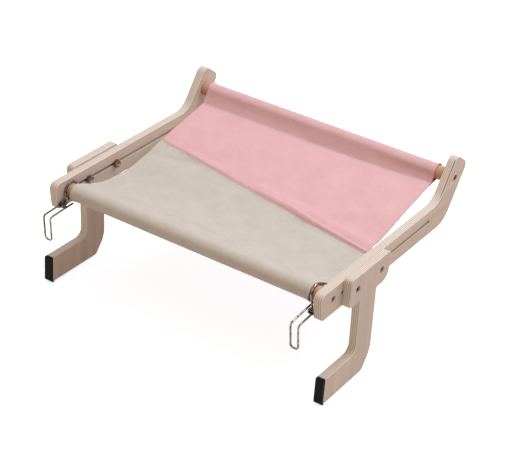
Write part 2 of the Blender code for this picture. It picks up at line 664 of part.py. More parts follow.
def build_clamp_nut(name, far, screw_x, parent):
    """A hexagon nut on top of the upper plate."""
    low = far + TOUCH
    high = low + CLAMP_NUT_HEIGHT
    nut = add_object(name, to_mesh(stand_up(hexagon_prism(CLAMP_NUT_ACROSS_FLATS, low, high)), name),
                     "zinc_steel", (screw_x, 0.0, 0.0), parent)
    radius = CLAMP_SCREW_RADIUS + BOLT_CLEARANCE
    bore = stand_up(turned([(low - OVERRUN, 0.0), (low - OVERRUN, radius),
                            (high + OVERRUN, radius), (high + OVERRUN, 0.0)]))
    cut(nut, to_mesh(bore, "clamp_nut_cutter"), f"{name}_bore_cutter", (screw_x, 0.0, 0.0))


# Canvas sling
def front_circle():
    """Middle and radius of the circle that the front sleeve's canvas follows."""
    radius = DOWEL_RADIUS + SLEEVE_CLEARANCE + CLOTH / 2 + SLEEVE_SLACK
    return Vector((0.0, -SLEEVE_SLACK)), radius


def rear_circle():
    """Middle and radius of the circle that the rear sleeve's canvas follows."""
    radius = DOWEL_RADIUS + SLEEVE_CLEARANCE + CLOTH / 2
    return Vector(REAR_AXIS), radius


def rear_crease(x):
    """Where the rear sleeve is stitched to the sling at x, nearer its dowel at the right edge."""
    off = x - SLING_MIDDLE - REAR_CREASE_TIGHTENS_FROM
    share = max(0.0, off / (SLING_HALF - REAR_CREASE_TIGHTENS_FROM))
    return Vector(REAR_AXIS) + (REAR_CREASE_REACH - REAR_CREASE_TIGHTENING * share ** 2) * Vector(
        (math.cos(REAR_CREASE_ANGLE), math.sin(REAR_CREASE_ANGLE)))


def sling_start(x):
    """Where the sling leaves the front sleeve at x, in line with the sling's own slope there."""
    centre, radius = front_circle()
    crease = rear_crease(x)
    start = centre + Vector((0.0, radius))
    for _ in range(6):
        run = crease - start
        slope = (run.y - 4 * SLING_SAG - math.tau * SLING_SKEW) / run.x
        angle = math.pi / 2 + math.atan(slope)
        start = centre + radius * Vector((math.cos(angle), math.sin(angle)))
    return start, angle


def sling_height(share, start, crease):
    """Height of the hanging canvas at a share of the way from the front sleeve to the crease."""
    chord = start.y + (crease.y - start.y) * share
    return chord - 4 * SLING_SAG * share * (1 - share) - SLING_SKEW * math.sin(math.tau * share)


def edge_drop(x, share):
    """How far the sling hangs below its even sag at x, most at each side edge."""
    across = (x - SLING_MIDDLE) / SLING_HALF
    drop, length = LEFT_EDGE_DROP, LEFT_DROP_SHARE
    if across > 0:
        drop, length = RIGHT_EDGE_DROP, RIGHT_DROP_SHARE
    along = min(max(share, 0.0) / length, 1.0)
    return drop * across ** 2 * math.sin(math.pi * along) ** 2


def sideways(y):
    """How far the sling sits to the right at y."""
    share = min(max(y / SLING_DRIFT_LENGTH, 0.0), 1.0)
    return SLING_DRIFT * share * (2 - share)


def seam_back(x):
    """The diagonal seam's distance behind the front dowel's axis at x."""
    share = (x - SLING_LEFT) / (2 * SLING_HALF)
    return SEAM_LEFT_BACK + (SEAM_RIGHT_BACK - SEAM_LEFT_BACK) * share


def fold_height(x, y, share):
    """Soft folds of the canvas at a place, fading out at the two sleeves."""
    place = Vector((x - SLING_MIDDLE, y))
    height = 0.0
    for row in FOLD_SHARES:
        start = Vector((row[0] * SLING_HALF, row[1] * REAR_AXIS_BACK))
        end = Vector((row[2] * SLING_HALF, row[3] * REAR_AXIS_BACK))
        along = min(max((place - start).dot(end - start) / (end - start).length_squared, 0.0), 1.0)
        away = (place - start.lerp(end, along)).length
        height += row[4] * FOLD_HEIGHT * math.exp(-(away / (row[5] * FOLD_SPREAD)) ** 2)
    return height * min(1.0, 2 * math.sin(math.pi * min(max(share, 0.0), 1.0)))


def sling_point(x, y, start, crease):
    """A point of the sling's middle surface at x and y."""
    share = (y - start.x) / (crease.x - start.x)
    height = sling_height(share, start, crease) - edge_drop(x, share)
    return Vector((y, height + fold_height(x, y, share)))


def under_sling(x, y, start, crease):
    """A point of the turned-in canvas, a touch below the sling."""
    near = sling_point(x, y, start, crease)
    ahead = sling_point(x, y + CLOTH, start, crease) - near
    return near + Vector((ahead.y, -ahead.x)).normalized() * (CLOTH + TOUCH)


def tangent_angle(centre, radius, point, side):
    """Angle on a circle where a line from point touches it, on the given side."""
    away = point - centre
    return math.atan2(away.y, away.x) + side * math.acos(radius / away.length)


def arc_points(centre, radius, first, last, count):
    """Evenly spaced points of an arc from one angle to another."""
    angles = [first + (last - first) * i / count for i in range(count + 1)]
    return [centre + radius * Vector((math.cos(a), math.sin(a))) for a in angles]


def front_panel_line(x):
    """Middle line of the beige panel at x: stitched lap, round the dowel, then back to the seam."""
    start, top_angle = sling_start(x)
    crease = rear_crease(x)
    centre, radius = front_circle()
    lap = [under_sling(x, FRONT_STITCH_BACK + STITCH_LAP * share, start, crease)
           for share in (1.0, 0.5, 0.0)]
    low_angle = tangent_angle(centre, radius, lap[-1], -1)
    sleeve = arc_points(centre, radius, low_angle, top_angle - math.tau, SLEEVE_ROWS)
    run = seam_back(x) - TOUCH / 2 - start.x
    sheet = [sling_point(x, start.x + run * i / SLING_ROWS, start, crease)
             for i in range(1, SLING_ROWS + 1)]
    return lap + sleeve + sheet


def rear_panel_line(x):
    """Middle line of the pink panel at x: from the seam, round the dowel and back to the lap."""
    start, _ = sling_start(x)
    crease = rear_crease(x)
    centre, radius = rear_circle()
    seam = seam_back(x) + TOUCH / 2
    sheet = [sling_point(x, seam + (crease.x - seam) * i / SLING_ROWS, start, crease)
             for i in range(SLING_ROWS)]
    joint = sling_point(x, crease.x, start, crease)
    high_angle = tangent_angle(centre, radius, joint, -1)
    laps = [under_sling(x, crease.x - STITCH_LAP * share, start, crease)
            for share in (0.0, 0.5, 1.0)]
    low_angle = tangent_angle(centre, radius, laps[0], 1)
    sleeve = arc_points(centre, radius, high_angle, low_angle - math.tau, SLEEVE_ROWS)
    return sheet + [joint] + sleeve + laps


def side_normals(line):
    """Unit normals of an open line, to its left as it runs."""
    normals = []
    for index, point in enumerate(line):
        before = line[max(index - 1, 0)]
        after = line[min(index + 1, len(line) - 1)]
        ahead = (after - before).normalized()
        normals.append(Vector((-ahead.y, ahead.x)))
    return normals


def cloth_solid(line_at):
    """Closed sheet of canvas swept across the bed from its middle line at each column."""
    bm = bmesh.new()
    sheets = []
    for column in range(SLING_COLUMNS + 1):
        x = SLING_MIDDLE + SLING_HALF * (2 * column / SLING_COLUMNS - 1)
        line = line_at(x)
        pairs = []
        for point, normal in zip(line, side_normals(line)):
            offsets = (point + normal * CLOTH / 2, point - normal * CLOTH / 2)
            pairs.append([bm.verts.new((x + sideways(spot.x), spot.x, spot.y))
                          for spot in offsets])
        sheets.append(pairs)
    rows = len(sheets[0])
    for left, right in zip(sheets, sheets[1:]):
        for row in range(rows - 1):
            for face_side in (0, 1):
                bm.faces.new((left[row][face_side], left[row + 1][face_side],
                              right[row + 1][face_side], right[row][face_side]))
        for row in (0, rows - 1):
            bm.faces.new((left[row][0], left[row][1], right[row][1], right[row][0]))
    for edge in (sheets[0], sheets[-1]):
        for row in range(rows - 1):
            bm.faces.new((edge[row][0], edge[row + 1][0], edge[row + 1][1], edge[row][1]))
    return bm


def build_sling():
    """The beige and pink canvas panels that meet at the diagonal seam."""
    panels = (("front_sling_panel", front_panel_line, "canvas_beige"),
              ("rear_sling_panel", rear_panel_line, "canvas_pink"))
    for name, line_at, finish in panels:
        mesh = to_mesh(cloth_solid(line_at), name, math.radians(60.0))
        add_object(name, mesh, finish, beside(RIGHT, 0))


def main():
    """Build every piece of the bed."""
    clear_scene()
    for label, (y, z) in (("front", (0, 0)), ("rear", REAR_AXIS)):
        build_dowel(label, y, z)
        for side, side_label in ((LEFT, "left"), (RIGHT, "right")):
            build_dowel_fastener(side, f"{label}_{side_label}", y, z)
    build_sling()
    for side, label, swing in ((LEFT, "left", LEFT_HOOK_SWING), (RIGHT, "right", RIGHT_HOOK_SWING)):
        build_arm(side, label)
        build_leg(side, label)
        wire = build_hook(side, label, swing)
        print(label, "hook wire, least gap to itself in mm:", round(least_gap(wire, 8) * 1000, 2))


main()
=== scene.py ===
"""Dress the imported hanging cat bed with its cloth, finishes, studio and camera.

Lengths are in metres. Outlines of the sling are worked out in a side view (back, up) that is
measured from the front dowel's axis, as the part's own sizes are.
"""
import logging
import math
from collections.abc import Callable, Iterable, Mapping
from dataclasses import dataclass
from enum import Enum
from typing import Any

import bmesh
import bpy
import numpy as np
from mathutils import Matrix, Vector, noise


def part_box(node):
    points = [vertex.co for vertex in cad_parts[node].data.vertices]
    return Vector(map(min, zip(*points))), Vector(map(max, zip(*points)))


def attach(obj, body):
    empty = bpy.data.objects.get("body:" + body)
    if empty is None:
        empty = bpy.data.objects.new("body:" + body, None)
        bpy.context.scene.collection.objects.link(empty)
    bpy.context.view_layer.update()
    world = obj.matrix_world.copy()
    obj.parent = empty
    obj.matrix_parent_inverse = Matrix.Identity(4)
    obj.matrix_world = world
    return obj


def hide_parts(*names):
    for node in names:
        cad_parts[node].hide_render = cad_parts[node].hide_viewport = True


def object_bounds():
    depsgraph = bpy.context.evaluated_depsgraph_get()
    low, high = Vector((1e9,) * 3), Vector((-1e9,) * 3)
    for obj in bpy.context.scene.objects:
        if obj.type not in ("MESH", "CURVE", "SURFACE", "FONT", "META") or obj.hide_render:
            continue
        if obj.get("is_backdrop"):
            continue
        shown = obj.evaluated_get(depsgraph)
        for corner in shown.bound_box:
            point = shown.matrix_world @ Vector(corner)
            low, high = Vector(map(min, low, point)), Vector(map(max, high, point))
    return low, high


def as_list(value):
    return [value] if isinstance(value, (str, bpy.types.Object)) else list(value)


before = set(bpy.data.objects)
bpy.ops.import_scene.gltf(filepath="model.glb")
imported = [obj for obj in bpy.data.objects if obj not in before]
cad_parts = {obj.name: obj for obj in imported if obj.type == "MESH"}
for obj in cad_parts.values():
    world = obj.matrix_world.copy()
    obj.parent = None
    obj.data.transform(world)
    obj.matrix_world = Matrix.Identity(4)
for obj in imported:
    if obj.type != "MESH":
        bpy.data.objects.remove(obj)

log = logging.getLogger("hanging_cat_bed")
Colour = tuple[float, float, float, float]
Tree = bpy.types.NodeTree
Node = bpy.types.Node
Socket = bpy.types.NodeSocket
WHITE: Colour = (1.0, 1.0, 1.0, 1.0)
BLACK: Colour = (0.0, 0.0, 0.0, 1.0)
MM = 0.001
SIDES = ("left", "right")
QUARTERS = (0.0, 0.25, 0.5, 0.75, 1.0)
THIRDS = (0.33, 0.67)

# Scale of a Wave texture that has one band per metre.
WAVE = math.tau / 20

# Sockets of a Mix node, which have to be found by number.
FACTOR, FLOAT_A, FLOAT_B, COLOUR_A, COLOUR_B = 0, 2, 3, 6, 7
MIXED_FLOAT, MIXED_COLOUR = 0, 2


# Shared helpers


def linear(hex_colour: str) -> Colour:
    """Turn an sRGB hex colour into linear values.

    Args:
        hex_colour: A hash and six hex digits.

    Returns:
        Linear red, green and blue, and an alpha of one.
    """
    values = []
    for start in (1, 3, 5):
        share = int(hex_colour[start:start + 2], 16) / 255
        values.append(share / 12.92 if share <= 0.04045 else ((share + 0.055) / 1.055) ** 2.4)
    return (values[0], values[1], values[2], 1.0)


def add_node(
    tree: Tree,
    kind: str,
    settings: Mapping[str, Any] | None = None,
    links: Mapping[str | int, Any] | None = None,
) -> Node:
    """Add one shader node with its settings and its inputs.

    Args:
        tree: The node tree to add to.
        kind: The node's type, without the ShaderNode that it starts with.
        settings: Properties to set on the node.
        links: Inputs by name or number, each a socket to link or a plain value.

    Returns:
        The new node.
    """
    node = tree.nodes.new("ShaderNode" + kind)
    for name, value in (settings or {}).items():
        setattr(node, name, value)
    for key, value in (links or {}).items():
        if isinstance(value, Socket):
            tree.links.new(value, node.inputs[key])
        else:
            node.inputs[key].default_value = value
    return node


def new_surface(name: str, values: Mapping[str, Any]) -> tuple[bpy.types.Material, Tree, Node]:
    """Start a material with one Principled shader.

    Args:
        name: The material's name.
        values: Plain numbers and colours for the shader's sockets.

    Returns:
        The material, its node tree and its shader node.
    """
    material = bpy.data.materials.new(name)
    material.use_nodes = True
    tree = material.node_tree
    tree.nodes.clear()
    shader = add_node(tree, "BsdfPrincipled", links=values)
    add_node(tree, "OutputMaterial", links={"Surface": shader.outputs["BSDF"]})
    return material, tree, shader


def paint(
    tree: Tree, shader: Node, colour: Socket, height: Socket, strength: float, depth: float
) -> None:
    """Give a surface its colour and its relief.

    Args:
        tree: The material's node tree.
        shader: Its Principled shader.
        colour: The colour's socket.
        height: The socket of the relief's height.
        strength: Share of the relief that shows.
        depth: Depth of the whole relief.
    """
    bump = add_node(
        tree, "Bump", links={"Strength": strength, "Distance": depth, "Height": height}
    )
    tree.links.new(colour, shader.inputs["Base Color"])
    tree.links.new(bump.outputs[0], shader.inputs["Normal"])


def show(tree: Tree, result: Socket) -> None:
    """Let a material show another shader's socket than its first."""
    output = next(node for node in tree.nodes if node.type == "OUTPUT_MATERIAL")
    tree.links.new(result, output.inputs["Surface"])


def wear(name: str, material: bpy.types.Material) -> None:
    """Give a CAD node one material, in its object's slots.

    Args:
        name: The node's name.
        material: Its finish.
    """
    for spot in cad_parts[name].material_slots:
        spot.link = "OBJECT"
        spot.material = material
    log.info("%s: %s", name, material.name)


def plain(size: float) -> float:
    """A size from the frame, to a hundredth of a millimetre."""
    return round(size, 5)


def mesh_from(bm: bmesh.types.BMesh, name: str) -> bpy.types.Mesh:
    """Turn a working mesh into a smooth one, and free it.

    Args:
        bm: The working mesh.
        name: The new mesh's name.

    Returns:
        The mesh.
    """
    mesh = bpy.data.meshes.new(name)
    bm.to_mesh(mesh)
    bm.free()
    mesh.shade_smooth()
    return mesh


def add_piece(
    name: str, mesh: bpy.types.Mesh, material: bpy.types.Material, body: str
) -> bpy.types.Object:
    """Add a mesh as a piece that rides on a body.

    Args:
        name: The piece's name.
        mesh: Its mesh, already in place.
        material: Its finish.
        body: The CAD body it moves with.

    Returns:
        The new object.
    """
    piece = bpy.data.objects.new(name, mesh)
    bpy.context.scene.collection.objects.link(piece)
    mesh.materials.append(material)
    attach(piece, body)
    log.info("%s: %d faces on %s", name, len(mesh.polygons), body)
    return piece


# Finishes


class Grain(Enum):
    """The way that a wooden piece's long grain runs, as the number of its axis."""

    ACROSS_BED = 0
    OUT_FROM_WALL = 1
    UPRIGHT = 2

    def drawn_out(self, times: float) -> list[float]:
        """Scale of a pattern that is so many times longer along the grain."""
        return [1 / times if axis == self.value else 1.0 for axis in range(3)]


@dataclass(frozen=True)
class BirchPlywood:
    """Birch plywood, sanded and left clear: pale faces, and edges that show every veneer.

    A 15 mm board has eleven veneers. Nine are drawn, the most that show in the render. The saw
    scorched the right arm's last glue line, which shows as one dark line where its end stands up.
    """

    name: str
    grain: Grain
    inner_face: float
    thickness: float
    scorching: float = 0.0
    scorch_width: float = 1.3 * MM
    scorch_starts: float = 0.2
    veneers: int = 9
    fibre: float = 2.38 * MM
    # Streaks and pores of the face, across the grain. Along it they are 20 times as long.
    streak_width: float = 17.86 * MM
    pore_width: float = 1.587 * MM
    times_longer: float = 20.0
    face: str = "#D1C2B9"
    streak: str = "#C2B2A6"
    long_veneer: str = "#E8E5DE"
    cross_veneer: str = "#CFBFAD"
    glue: str = "#9B7662"
    scorched_glue: str = "#5E3420"

    def material(self) -> bpy.types.Material:
        """Build the finish, with its veneers counted from the board's own inner face.

        Returns:
            The material.
        """
        material, tree, shader = new_surface(self.name, {"Roughness": 0.62, "IOR": 1.5})
        coords = add_node(tree, "TexCoord").outputs
        xyz = add_node(tree, "SeparateXYZ", links={0: coords["Object"]}).outputs
        facing = add_node(tree, "SeparateXYZ", links={0: coords["Normal"]}).outputs
        sideways = add_node(tree, "Math", {"operation": "ABSOLUTE"}, {0: facing["X"]})
        on_face = add_node(
            tree, "MapRange",
            links={"Value": sideways.outputs[0], "From Min": 0.75, "From Max": 0.9},
        ).outputs[0]
        edge, veneer = self._edge(tree, coords["Object"], xyz, facing["Y"])
        streaks, grain = self._face(tree, coords["Object"])
        colour = add_node(
            tree, "Mix", {"data_type": "RGBA"}, {FACTOR: on_face, COLOUR_A: edge, COLOUR_B: streaks}
        )
        relief = add_node(
            tree, "Mix", {"data_type": "FLOAT"}, {FACTOR: on_face, FLOAT_A: veneer, FLOAT_B: grain}
        )
        paint(
            tree, shader, colour.outputs[MIXED_COLOUR], relief.outputs[MIXED_FLOAT],
            0.35, 0.25 * MM,
        )
        return material

    def _edge(
        self, tree: Tree, place: Socket, xyz: Mapping[str, Socket], forward: Socket
    ) -> tuple[Socket, Socket]:
        """Draw the veneers and glue lines, counted from the board's inner face.

        Args:
            tree: The material's node tree.
            place: Socket of the place on the board.
            xyz: The place's three numbers, each a socket.
            forward: Socket of the surface's facing along y.

        Returns:
            The edge's colour and its relief.
        """
        away = add_node(tree, "Math", {"operation": "ABSOLUTE"}, {0: xyz["X"]})
        depth = add_node(
            tree, "Math", {"operation": "SUBTRACT"}, {0: away.outputs[0], 1: self.inner_face}
        )
        count = add_node(
            tree, "Math", {"operation": "MULTIPLY"},
            {0: depth.outputs[0], 1: self.veneers / self.thickness},
        ).outputs[0]
        whole = add_node(tree, "Math", {"operation": "FLOOR"}, {0: count})
        odd = add_node(tree, "Math", {"operation": "PINGPONG"}, {0: whole.outputs[0], 1: 1.0})
        seam = add_node(tree, "Math", {"operation": "PINGPONG"}, {0: count, 1: 0.5}).outputs[0]
        glue_share = add_node(
            tree, "MapRange",
            links={"Value": seam, "From Min": 0.03, "From Max": 0.11, "To Min": 0.55, "To Max": 0.0},
        )
        fibres = add_node(
            tree, "TexNoise", links={"Vector": place, "Scale": 1 / self.fibre, "Detail": 3.0}
        )
        veneer = add_node(
            tree, "Mix", {"data_type": "RGBA"},
            {FACTOR: odd.outputs[0], COLOUR_A: linear(self.long_veneer),
             COLOUR_B: linear(self.cross_veneer)},
        )
        mottled = add_node(
            tree, "Mix", {"data_type": "RGBA", "blend_type": "MULTIPLY"},
            {FACTOR: 0.16, COLOUR_A: veneer.outputs[MIXED_COLOUR], COLOUR_B: fibres.outputs["Fac"]},
        )
        glued = add_node(
            tree, "Mix", {"data_type": "RGBA"},
            {FACTOR: glue_share.outputs[0], COLOUR_A: mottled.outputs[MIXED_COLOUR],
             COLOUR_B: linear(self.glue)},
        )
        colour = add_node(
            tree, "Mix", {"data_type": "RGBA"},
            {FACTOR: self._scorched(tree, xyz, forward), COLOUR_A: glued.outputs[MIXED_COLOUR],
             COLOUR_B: linear(self.scorched_glue)},
        )
        relief = add_node(tree, "Math", {"operation": "MULTIPLY"}, {0: seam, 1: 0.3})
        return colour.outputs[MIXED_COLOUR], relief.outputs[0]

    def _scorched(self, tree: Tree, xyz: Mapping[str, Socket], forward: Socket) -> Socket:
        """Find the last glue line of a board at the right, where its end stands up.

        Args:
            tree: The material's node tree.
            xyz: The place's three numbers, each a socket.
            forward: Socket of the surface's facing along y.

        Returns:
            Socket of how scorched the place is.
        """
        last_glue = self.inner_face + self.thickness * (1 - 1 / self.veneers)
        on_line = add_node(
            tree, "Math", {"operation": "COMPARE"},
            {0: xyz["X"], 1: last_glue, 2: self.scorch_width / 2},
        )
        upright = add_node(
            tree, "MapRange",
            links={"Value": forward, "From Min": -0.5, "From Max": -0.75, "To Max": self.scorching},
        )
        behind = add_node(
            tree, "Math", {"operation": "GREATER_THAN"}, {0: xyz["Y"], 1: self.scorch_starts}
        )
        share = on_line.outputs[0]
        for limit in (upright, behind):
            share = add_node(
                tree, "Math", {"operation": "MULTIPLY"}, {0: share, 1: limit.outputs[0]}
            ).outputs[0]
        return share

    def _face(self, tree: Tree, place: Socket) -> tuple[Socket, Socket]:
        """Draw the long soft streaks and fine pores of the face veneer.

        Args:
            tree: The material's node tree.
            place: Socket of the place on the board.

        Returns:
            The face's colour and its relief.
        """
        grain = add_node(
            tree, "Mapping",
            links={"Vector": place, "Scale": self.grain.drawn_out(self.times_longer)},
        ).outputs[0]
        bands = add_node(
            tree, "TexNoise",
            links={"Vector": grain, "Scale": 1 / self.streak_width, "Detail": 2.0,
                   "Distortion": 0.4},
        )
        pores = add_node(
            tree, "TexNoise",
            links={"Vector": grain, "Scale": 1 / self.pore_width, "Detail": 4.0,
                   "Roughness": 0.65},
        )
        share = add_node(
            tree, "MapRange", links={"Value": bands.outputs[0], "From Min": 0.32, "From Max": 0.7}
        )
        colour = add_node(
            tree, "Mix", {"data_type": "RGBA"},
            {FACTOR: share.outputs[0], COLOUR_A: linear(self.face), COLOUR_B: linear(self.streak)},
        )
        fine = add_node(
            tree, "Mix", {"data_type": "RGBA", "blend_type": "SOFT_LIGHT"},
            {FACTOR: 0.30, COLOUR_A: colour.outputs[MIXED_COLOUR], COLOUR_B: pores.outputs["Fac"]},
        )
        return fine.outputs[MIXED_COLOUR], pores.outputs["Fac"]


@dataclass(frozen=True)
class OiledBeech:
    """Beech turned and oiled: warm, with short dark flecks and a low sheen."""

    name: str
    # Bands and flecks across the grain. Along it they are 23 times as long.
    band_width: float = 8.93 * MM
    fleck_width: float = 1.02 * MM
    times_longer: float = 23.33
    light: str = "#D4A886"
    dark: str = "#B18466"
    fleck: str = "#875A40"

    def material(self) -> bpy.types.Material:
        """Build the finish, with its grain along the dowel.

        Returns:
            The material.
        """
        material, tree, shader = new_surface(self.name, {"Roughness": 0.48, "IOR": 1.5})
        grain = add_node(
            tree, "Mapping",
            links={"Vector": add_node(tree, "TexCoord").outputs["Object"],
                   "Scale": Grain.ACROSS_BED.drawn_out(self.times_longer)},
        ).outputs[0]
        bands = add_node(
            tree, "TexNoise",
            links={"Vector": grain, "Scale": 1 / self.band_width, "Detail": 3.0,
                   "Distortion": 0.5},
        )
        flecks = add_node(
            tree, "TexNoise", links={"Vector": grain, "Scale": 1 / self.fleck_width, "Detail": 2.0}
        )
        base = add_node(
            tree, "Mix", {"data_type": "RGBA"},
            {FACTOR: bands.outputs[0], COLOUR_A: linear(self.light), COLOUR_B: linear(self.dark)},
        )
        share = add_node(
            tree, "MapRange",
            links={"Value": flecks.outputs[0], "From Min": 0.60, "From Max": 0.72, "To Max": 0.5},
        )
        colour = add_node(
            tree, "Mix", {"data_type": "RGBA"},
            {FACTOR: share.outputs[0], COLOUR_A: base.outputs[MIXED_COLOUR],
             COLOUR_B: linear(self.fleck)},
        )
        paint(tree, shader, colour.outputs[MIXED_COLOUR], flecks.outputs[0], 0.3, 0.2 * MM)
        return material


@dataclass(frozen=True)
class CottonCanvas:
    """Cotton canvas, dyed and plain woven: matte, with slubs and a soft pile at grazing angles.

    Canvas of this weight has a thread about every 0.6 mm. The weave is drawn at 1.5 mm, the
    finest that shows in the render. A little light comes through the cloth, deepened by the
    dye, and warms its shaded side.
    """

    name: str
    colour: str
    shade: str
    glow: str
    let_through: float = 0.12
    thread_spacing: float = 1.5 * MM
    slub_length: float = 14 * MM
    slub_stretch: float = 7.0
    cloud: float = 38.5 * MM

    def material(self) -> bpy.types.Material:
        """Build the finish on the cloth's own flat coordinates, which are in metres.

        Returns:
            The material.
        """
        material, tree, shader = new_surface(
            self.name,
            {"Roughness": 0.93, "IOR": 1.45, "Specular IOR Level": 0.12,
             "Sheen Weight": 0.05, "Sheen Roughness": 0.55},
        )
        flat = add_node(tree, "TexCoord").outputs["UV"]
        weave = self._weave(tree, flat)
        slubs = self._slubs(tree, flat)
        clouds = add_node(
            tree, "TexNoise", links={"Vector": flat, "Scale": 1 / self.cloud, "Detail": 2.0}
        )
        mixed = add_node(
            tree, "Math", {"operation": "MULTIPLY_ADD"}, {0: slubs, 1: 0.9, 2: clouds.outputs["Fac"]}
        )
        uneven = add_node(
            tree, "MapRange",
            links={"Value": mixed.outputs[0], "From Min": 1.15, "From Max": 1.65, "To Max": 0.3},
        )
        dyed = add_node(
            tree, "Mix", {"data_type": "RGBA"},
            {FACTOR: uneven.outputs[0], COLOUR_A: linear(self.colour), COLOUR_B: linear(self.shade)},
        )
        woven = add_node(tree, "MapRange", links={"Value": weave, "To Min": 0.0, "To Max": 0.16})
        colour = add_node(
            tree, "Mix", {"data_type": "RGBA"},
            {FACTOR: woven.outputs[0], COLOUR_A: dyed.outputs[MIXED_COLOUR],
             COLOUR_B: linear(self.shade)},
        )
        height = add_node(tree, "Math", {"operation": "MULTIPLY_ADD"}, {0: slubs, 1: 0.8, 2: weave})
        paint(tree, shader, colour.outputs[MIXED_COLOUR], height.outputs[0], 0.35, 0.25 * MM)
        through = add_node(tree, "BsdfTranslucent", links={"Color": linear(self.glow)})
        both = add_node(
            tree, "MixShader",
            links={0: self.let_through, 1: shader.outputs["BSDF"], 2: through.outputs[0]},
        )
        show(tree, both.outputs[0])
        return material

    def _weave(self, tree: Tree, flat: Socket) -> Socket:
        """Cross two sets of threads.

        Args:
            tree: The material's node tree.
            flat: Socket of the place on the flat cloth.

        Returns:
            Socket of the weave's height.
        """
        waves = [
            add_node(
                tree, "TexWave", {"bands_direction": direction},
                {"Vector": flat, "Scale": WAVE / self.thread_spacing,
                 "Distortion": 0.6, "Detail": 1.0, "Detail Scale": 3.0},
            ).outputs["Fac"]
            for direction in ("X", "Y")
        ]
        return add_node(tree, "Math", {"operation": "MULTIPLY"}, {0: waves[0], 1: waves[1]}).outputs[0]

    def _slubs(self, tree: Tree, flat: Socket) -> Socket:
        """Scatter thick places along the threads of both sets.

        Args:
            tree: The material's node tree.
            flat: Socket of the place on the flat cloth.

        Returns:
            Socket of the slubs' height.
        """
        slubs = []
        for scale in ((1.0, self.slub_stretch, 1.0), (self.slub_stretch, 1.0, 1.0)):
            stretched = add_node(tree, "Mapping", links={"Vector": flat, "Scale": scale})
            slub = add_node(
                tree, "TexNoise",
                links={"Vector": stretched.outputs[0], "Scale": 1 / self.slub_length, "Detail": 2.0},
            )
            slubs.append(slub.outputs["Fac"])
        return add_node(tree, "Math", {"operation": "ADD"}, {0: slubs[0], 1: slubs[1]}).outputs[0]


@dataclass(frozen=True)
class SewingThread:
    """Spun polyester thread, twisted: a shade lighter than its cloth, with a faint gloss."""

    name: str
    colour: str
    shade: str
    twist: float = 0.9 * MM

    def material(self) -> bpy.types.Material:
        """Build the finish, with its plies twisted every 0.9 mm.

        Returns:
            The material.
        """
        material, tree, shader = new_surface(self.name, {"Roughness": 0.6, "IOR": 1.5})
        plies = add_node(
            tree, "TexWave", {"bands_direction": "DIAGONAL"},
            {"Vector": add_node(tree, "TexCoord").outputs["Object"], "Scale": WAVE / self.twist},
        )
        colour = add_node(
            tree, "Mix", {"data_type": "RGBA"},
            {FACTOR: plies.outputs["Fac"], COLOUR_A: linear(self.colour),
             COLOUR_B: linear(self.shade)},
        )
        tree.links.new(colour.outputs[MIXED_COLOUR], shader.inputs["Base Color"])
        return material


@dataclass(frozen=True)
class SmallMetal:
    """Plated steel or turned brass: from mirror-like to softly clouded, with darker patches painted in
    as reflections, and fine wear marks.
    """

    name: str
    colour: str
    # Colour of the darker patches, painted in as reflections.
    painted_reflection_dark: str
    smoothest: float
    roughest: float
    cloud: float = 5 * MM
    mark: float = 0.625 * MM

    def material(self) -> bpy.types.Material:
        """Build the finish, clouded every few millimetres in its roughness and in painted dark
        reflections.

        Returns:
            The material.
        """
        material, tree, shader = new_surface(self.name, {"Metallic": 1.0})
        place = add_node(tree, "TexCoord").outputs["Object"]
        clouds, marks = (
            add_node(
                tree, "TexNoise", links={"Vector": place, "Scale": 1 / size, "Detail": detail}
            ).outputs["Fac"]
            for size, detail in ((self.cloud, 4.0), (self.mark, 2.0))
        )
        share = add_node(
            tree, "MapRange", links={"Value": clouds, "From Min": 0.38, "From Max": 0.62}
        )
        # Painted reflection: the clouds darken the colour in patches, as a darker surround would.
        colour = add_node(
            tree, "Mix", {"data_type": "RGBA"},
            {FACTOR: share.outputs[0], COLOUR_A: linear(self.colour), COLOUR_B: linear(self.painted_reflection_dark)},
        )
        roughness = add_node(
            tree, "MapRange",
            links={"Value": clouds, "From Min": 0.3, "From Max": 0.7,
                   "To Min": self.smoothest, "To Max": self.roughest},
        )
        tree.links.new(roughness.outputs[0], shader.inputs["Roughness"])
        paint(tree, shader, colour.outputs[MIXED_COLOUR], marks, 0.12, 0.05 * MM)
        return material


@dataclass(frozen=True)
class MouldedRubber:
    """Black rubber, moulded: deep matte, with the mould's fine ribs and a grey bloom."""

    name: str
    colour: str = "#090807"
    bloom: str = "#131110"
    rib_spacing: float = 2.6 * MM
    grit: float = 1.43 * MM
    bloom_size: float = 16.7 * MM

    def material(self) -> bpy.types.Material:
        """Build the finish, with upright ribs every 2.6 mm.

        Returns:
            The material.
        """
        material, tree, shader = new_surface(
            self.name, {"Roughness": 0.85, "IOR": 1.52, "Specular IOR Level": 0.2}
        )
        place = add_node(tree, "TexCoord").outputs["Object"]
        ribs = add_node(
            tree, "TexWave", {"bands_direction": "X"},
            {"Vector": place, "Scale": WAVE / self.rib_spacing},
        )
        grit, bloom = (
            add_node(
                tree, "TexNoise", links={"Vector": place, "Scale": 1 / size, "Detail": detail}
            ).outputs["Fac"]
            for size, detail in ((self.grit, 3.0), (self.bloom_size, 4.0))
        )
        colour = add_node(
            tree, "Mix", {"data_type": "RGBA"},
            {FACTOR: bloom, COLOUR_A: linear(self.colour), COLOUR_B: linear(self.bloom)},
        )
        height = add_node(
            tree, "Math", {"operation": "MULTIPLY_ADD"}, {0: grit, 1: 0.3, 2: ribs.outputs["Fac"]}
        )
        paint(tree, shader, colour.outputs[MIXED_COLOUR], height.outputs[0], 0.4, 0.25 * MM)
        return material


# Canvas sling


@dataclass(frozen=True)
class Welt:
    """A long low swell or groove in the cloth, in millimetres, seen across its line."""

    height: float
    place: float
    spread: float

    def at(self, off: float) -> float:
        """Height at a distance across the line."""
        return self.height * math.exp(-(((off - self.place) / self.spread) ** 2))


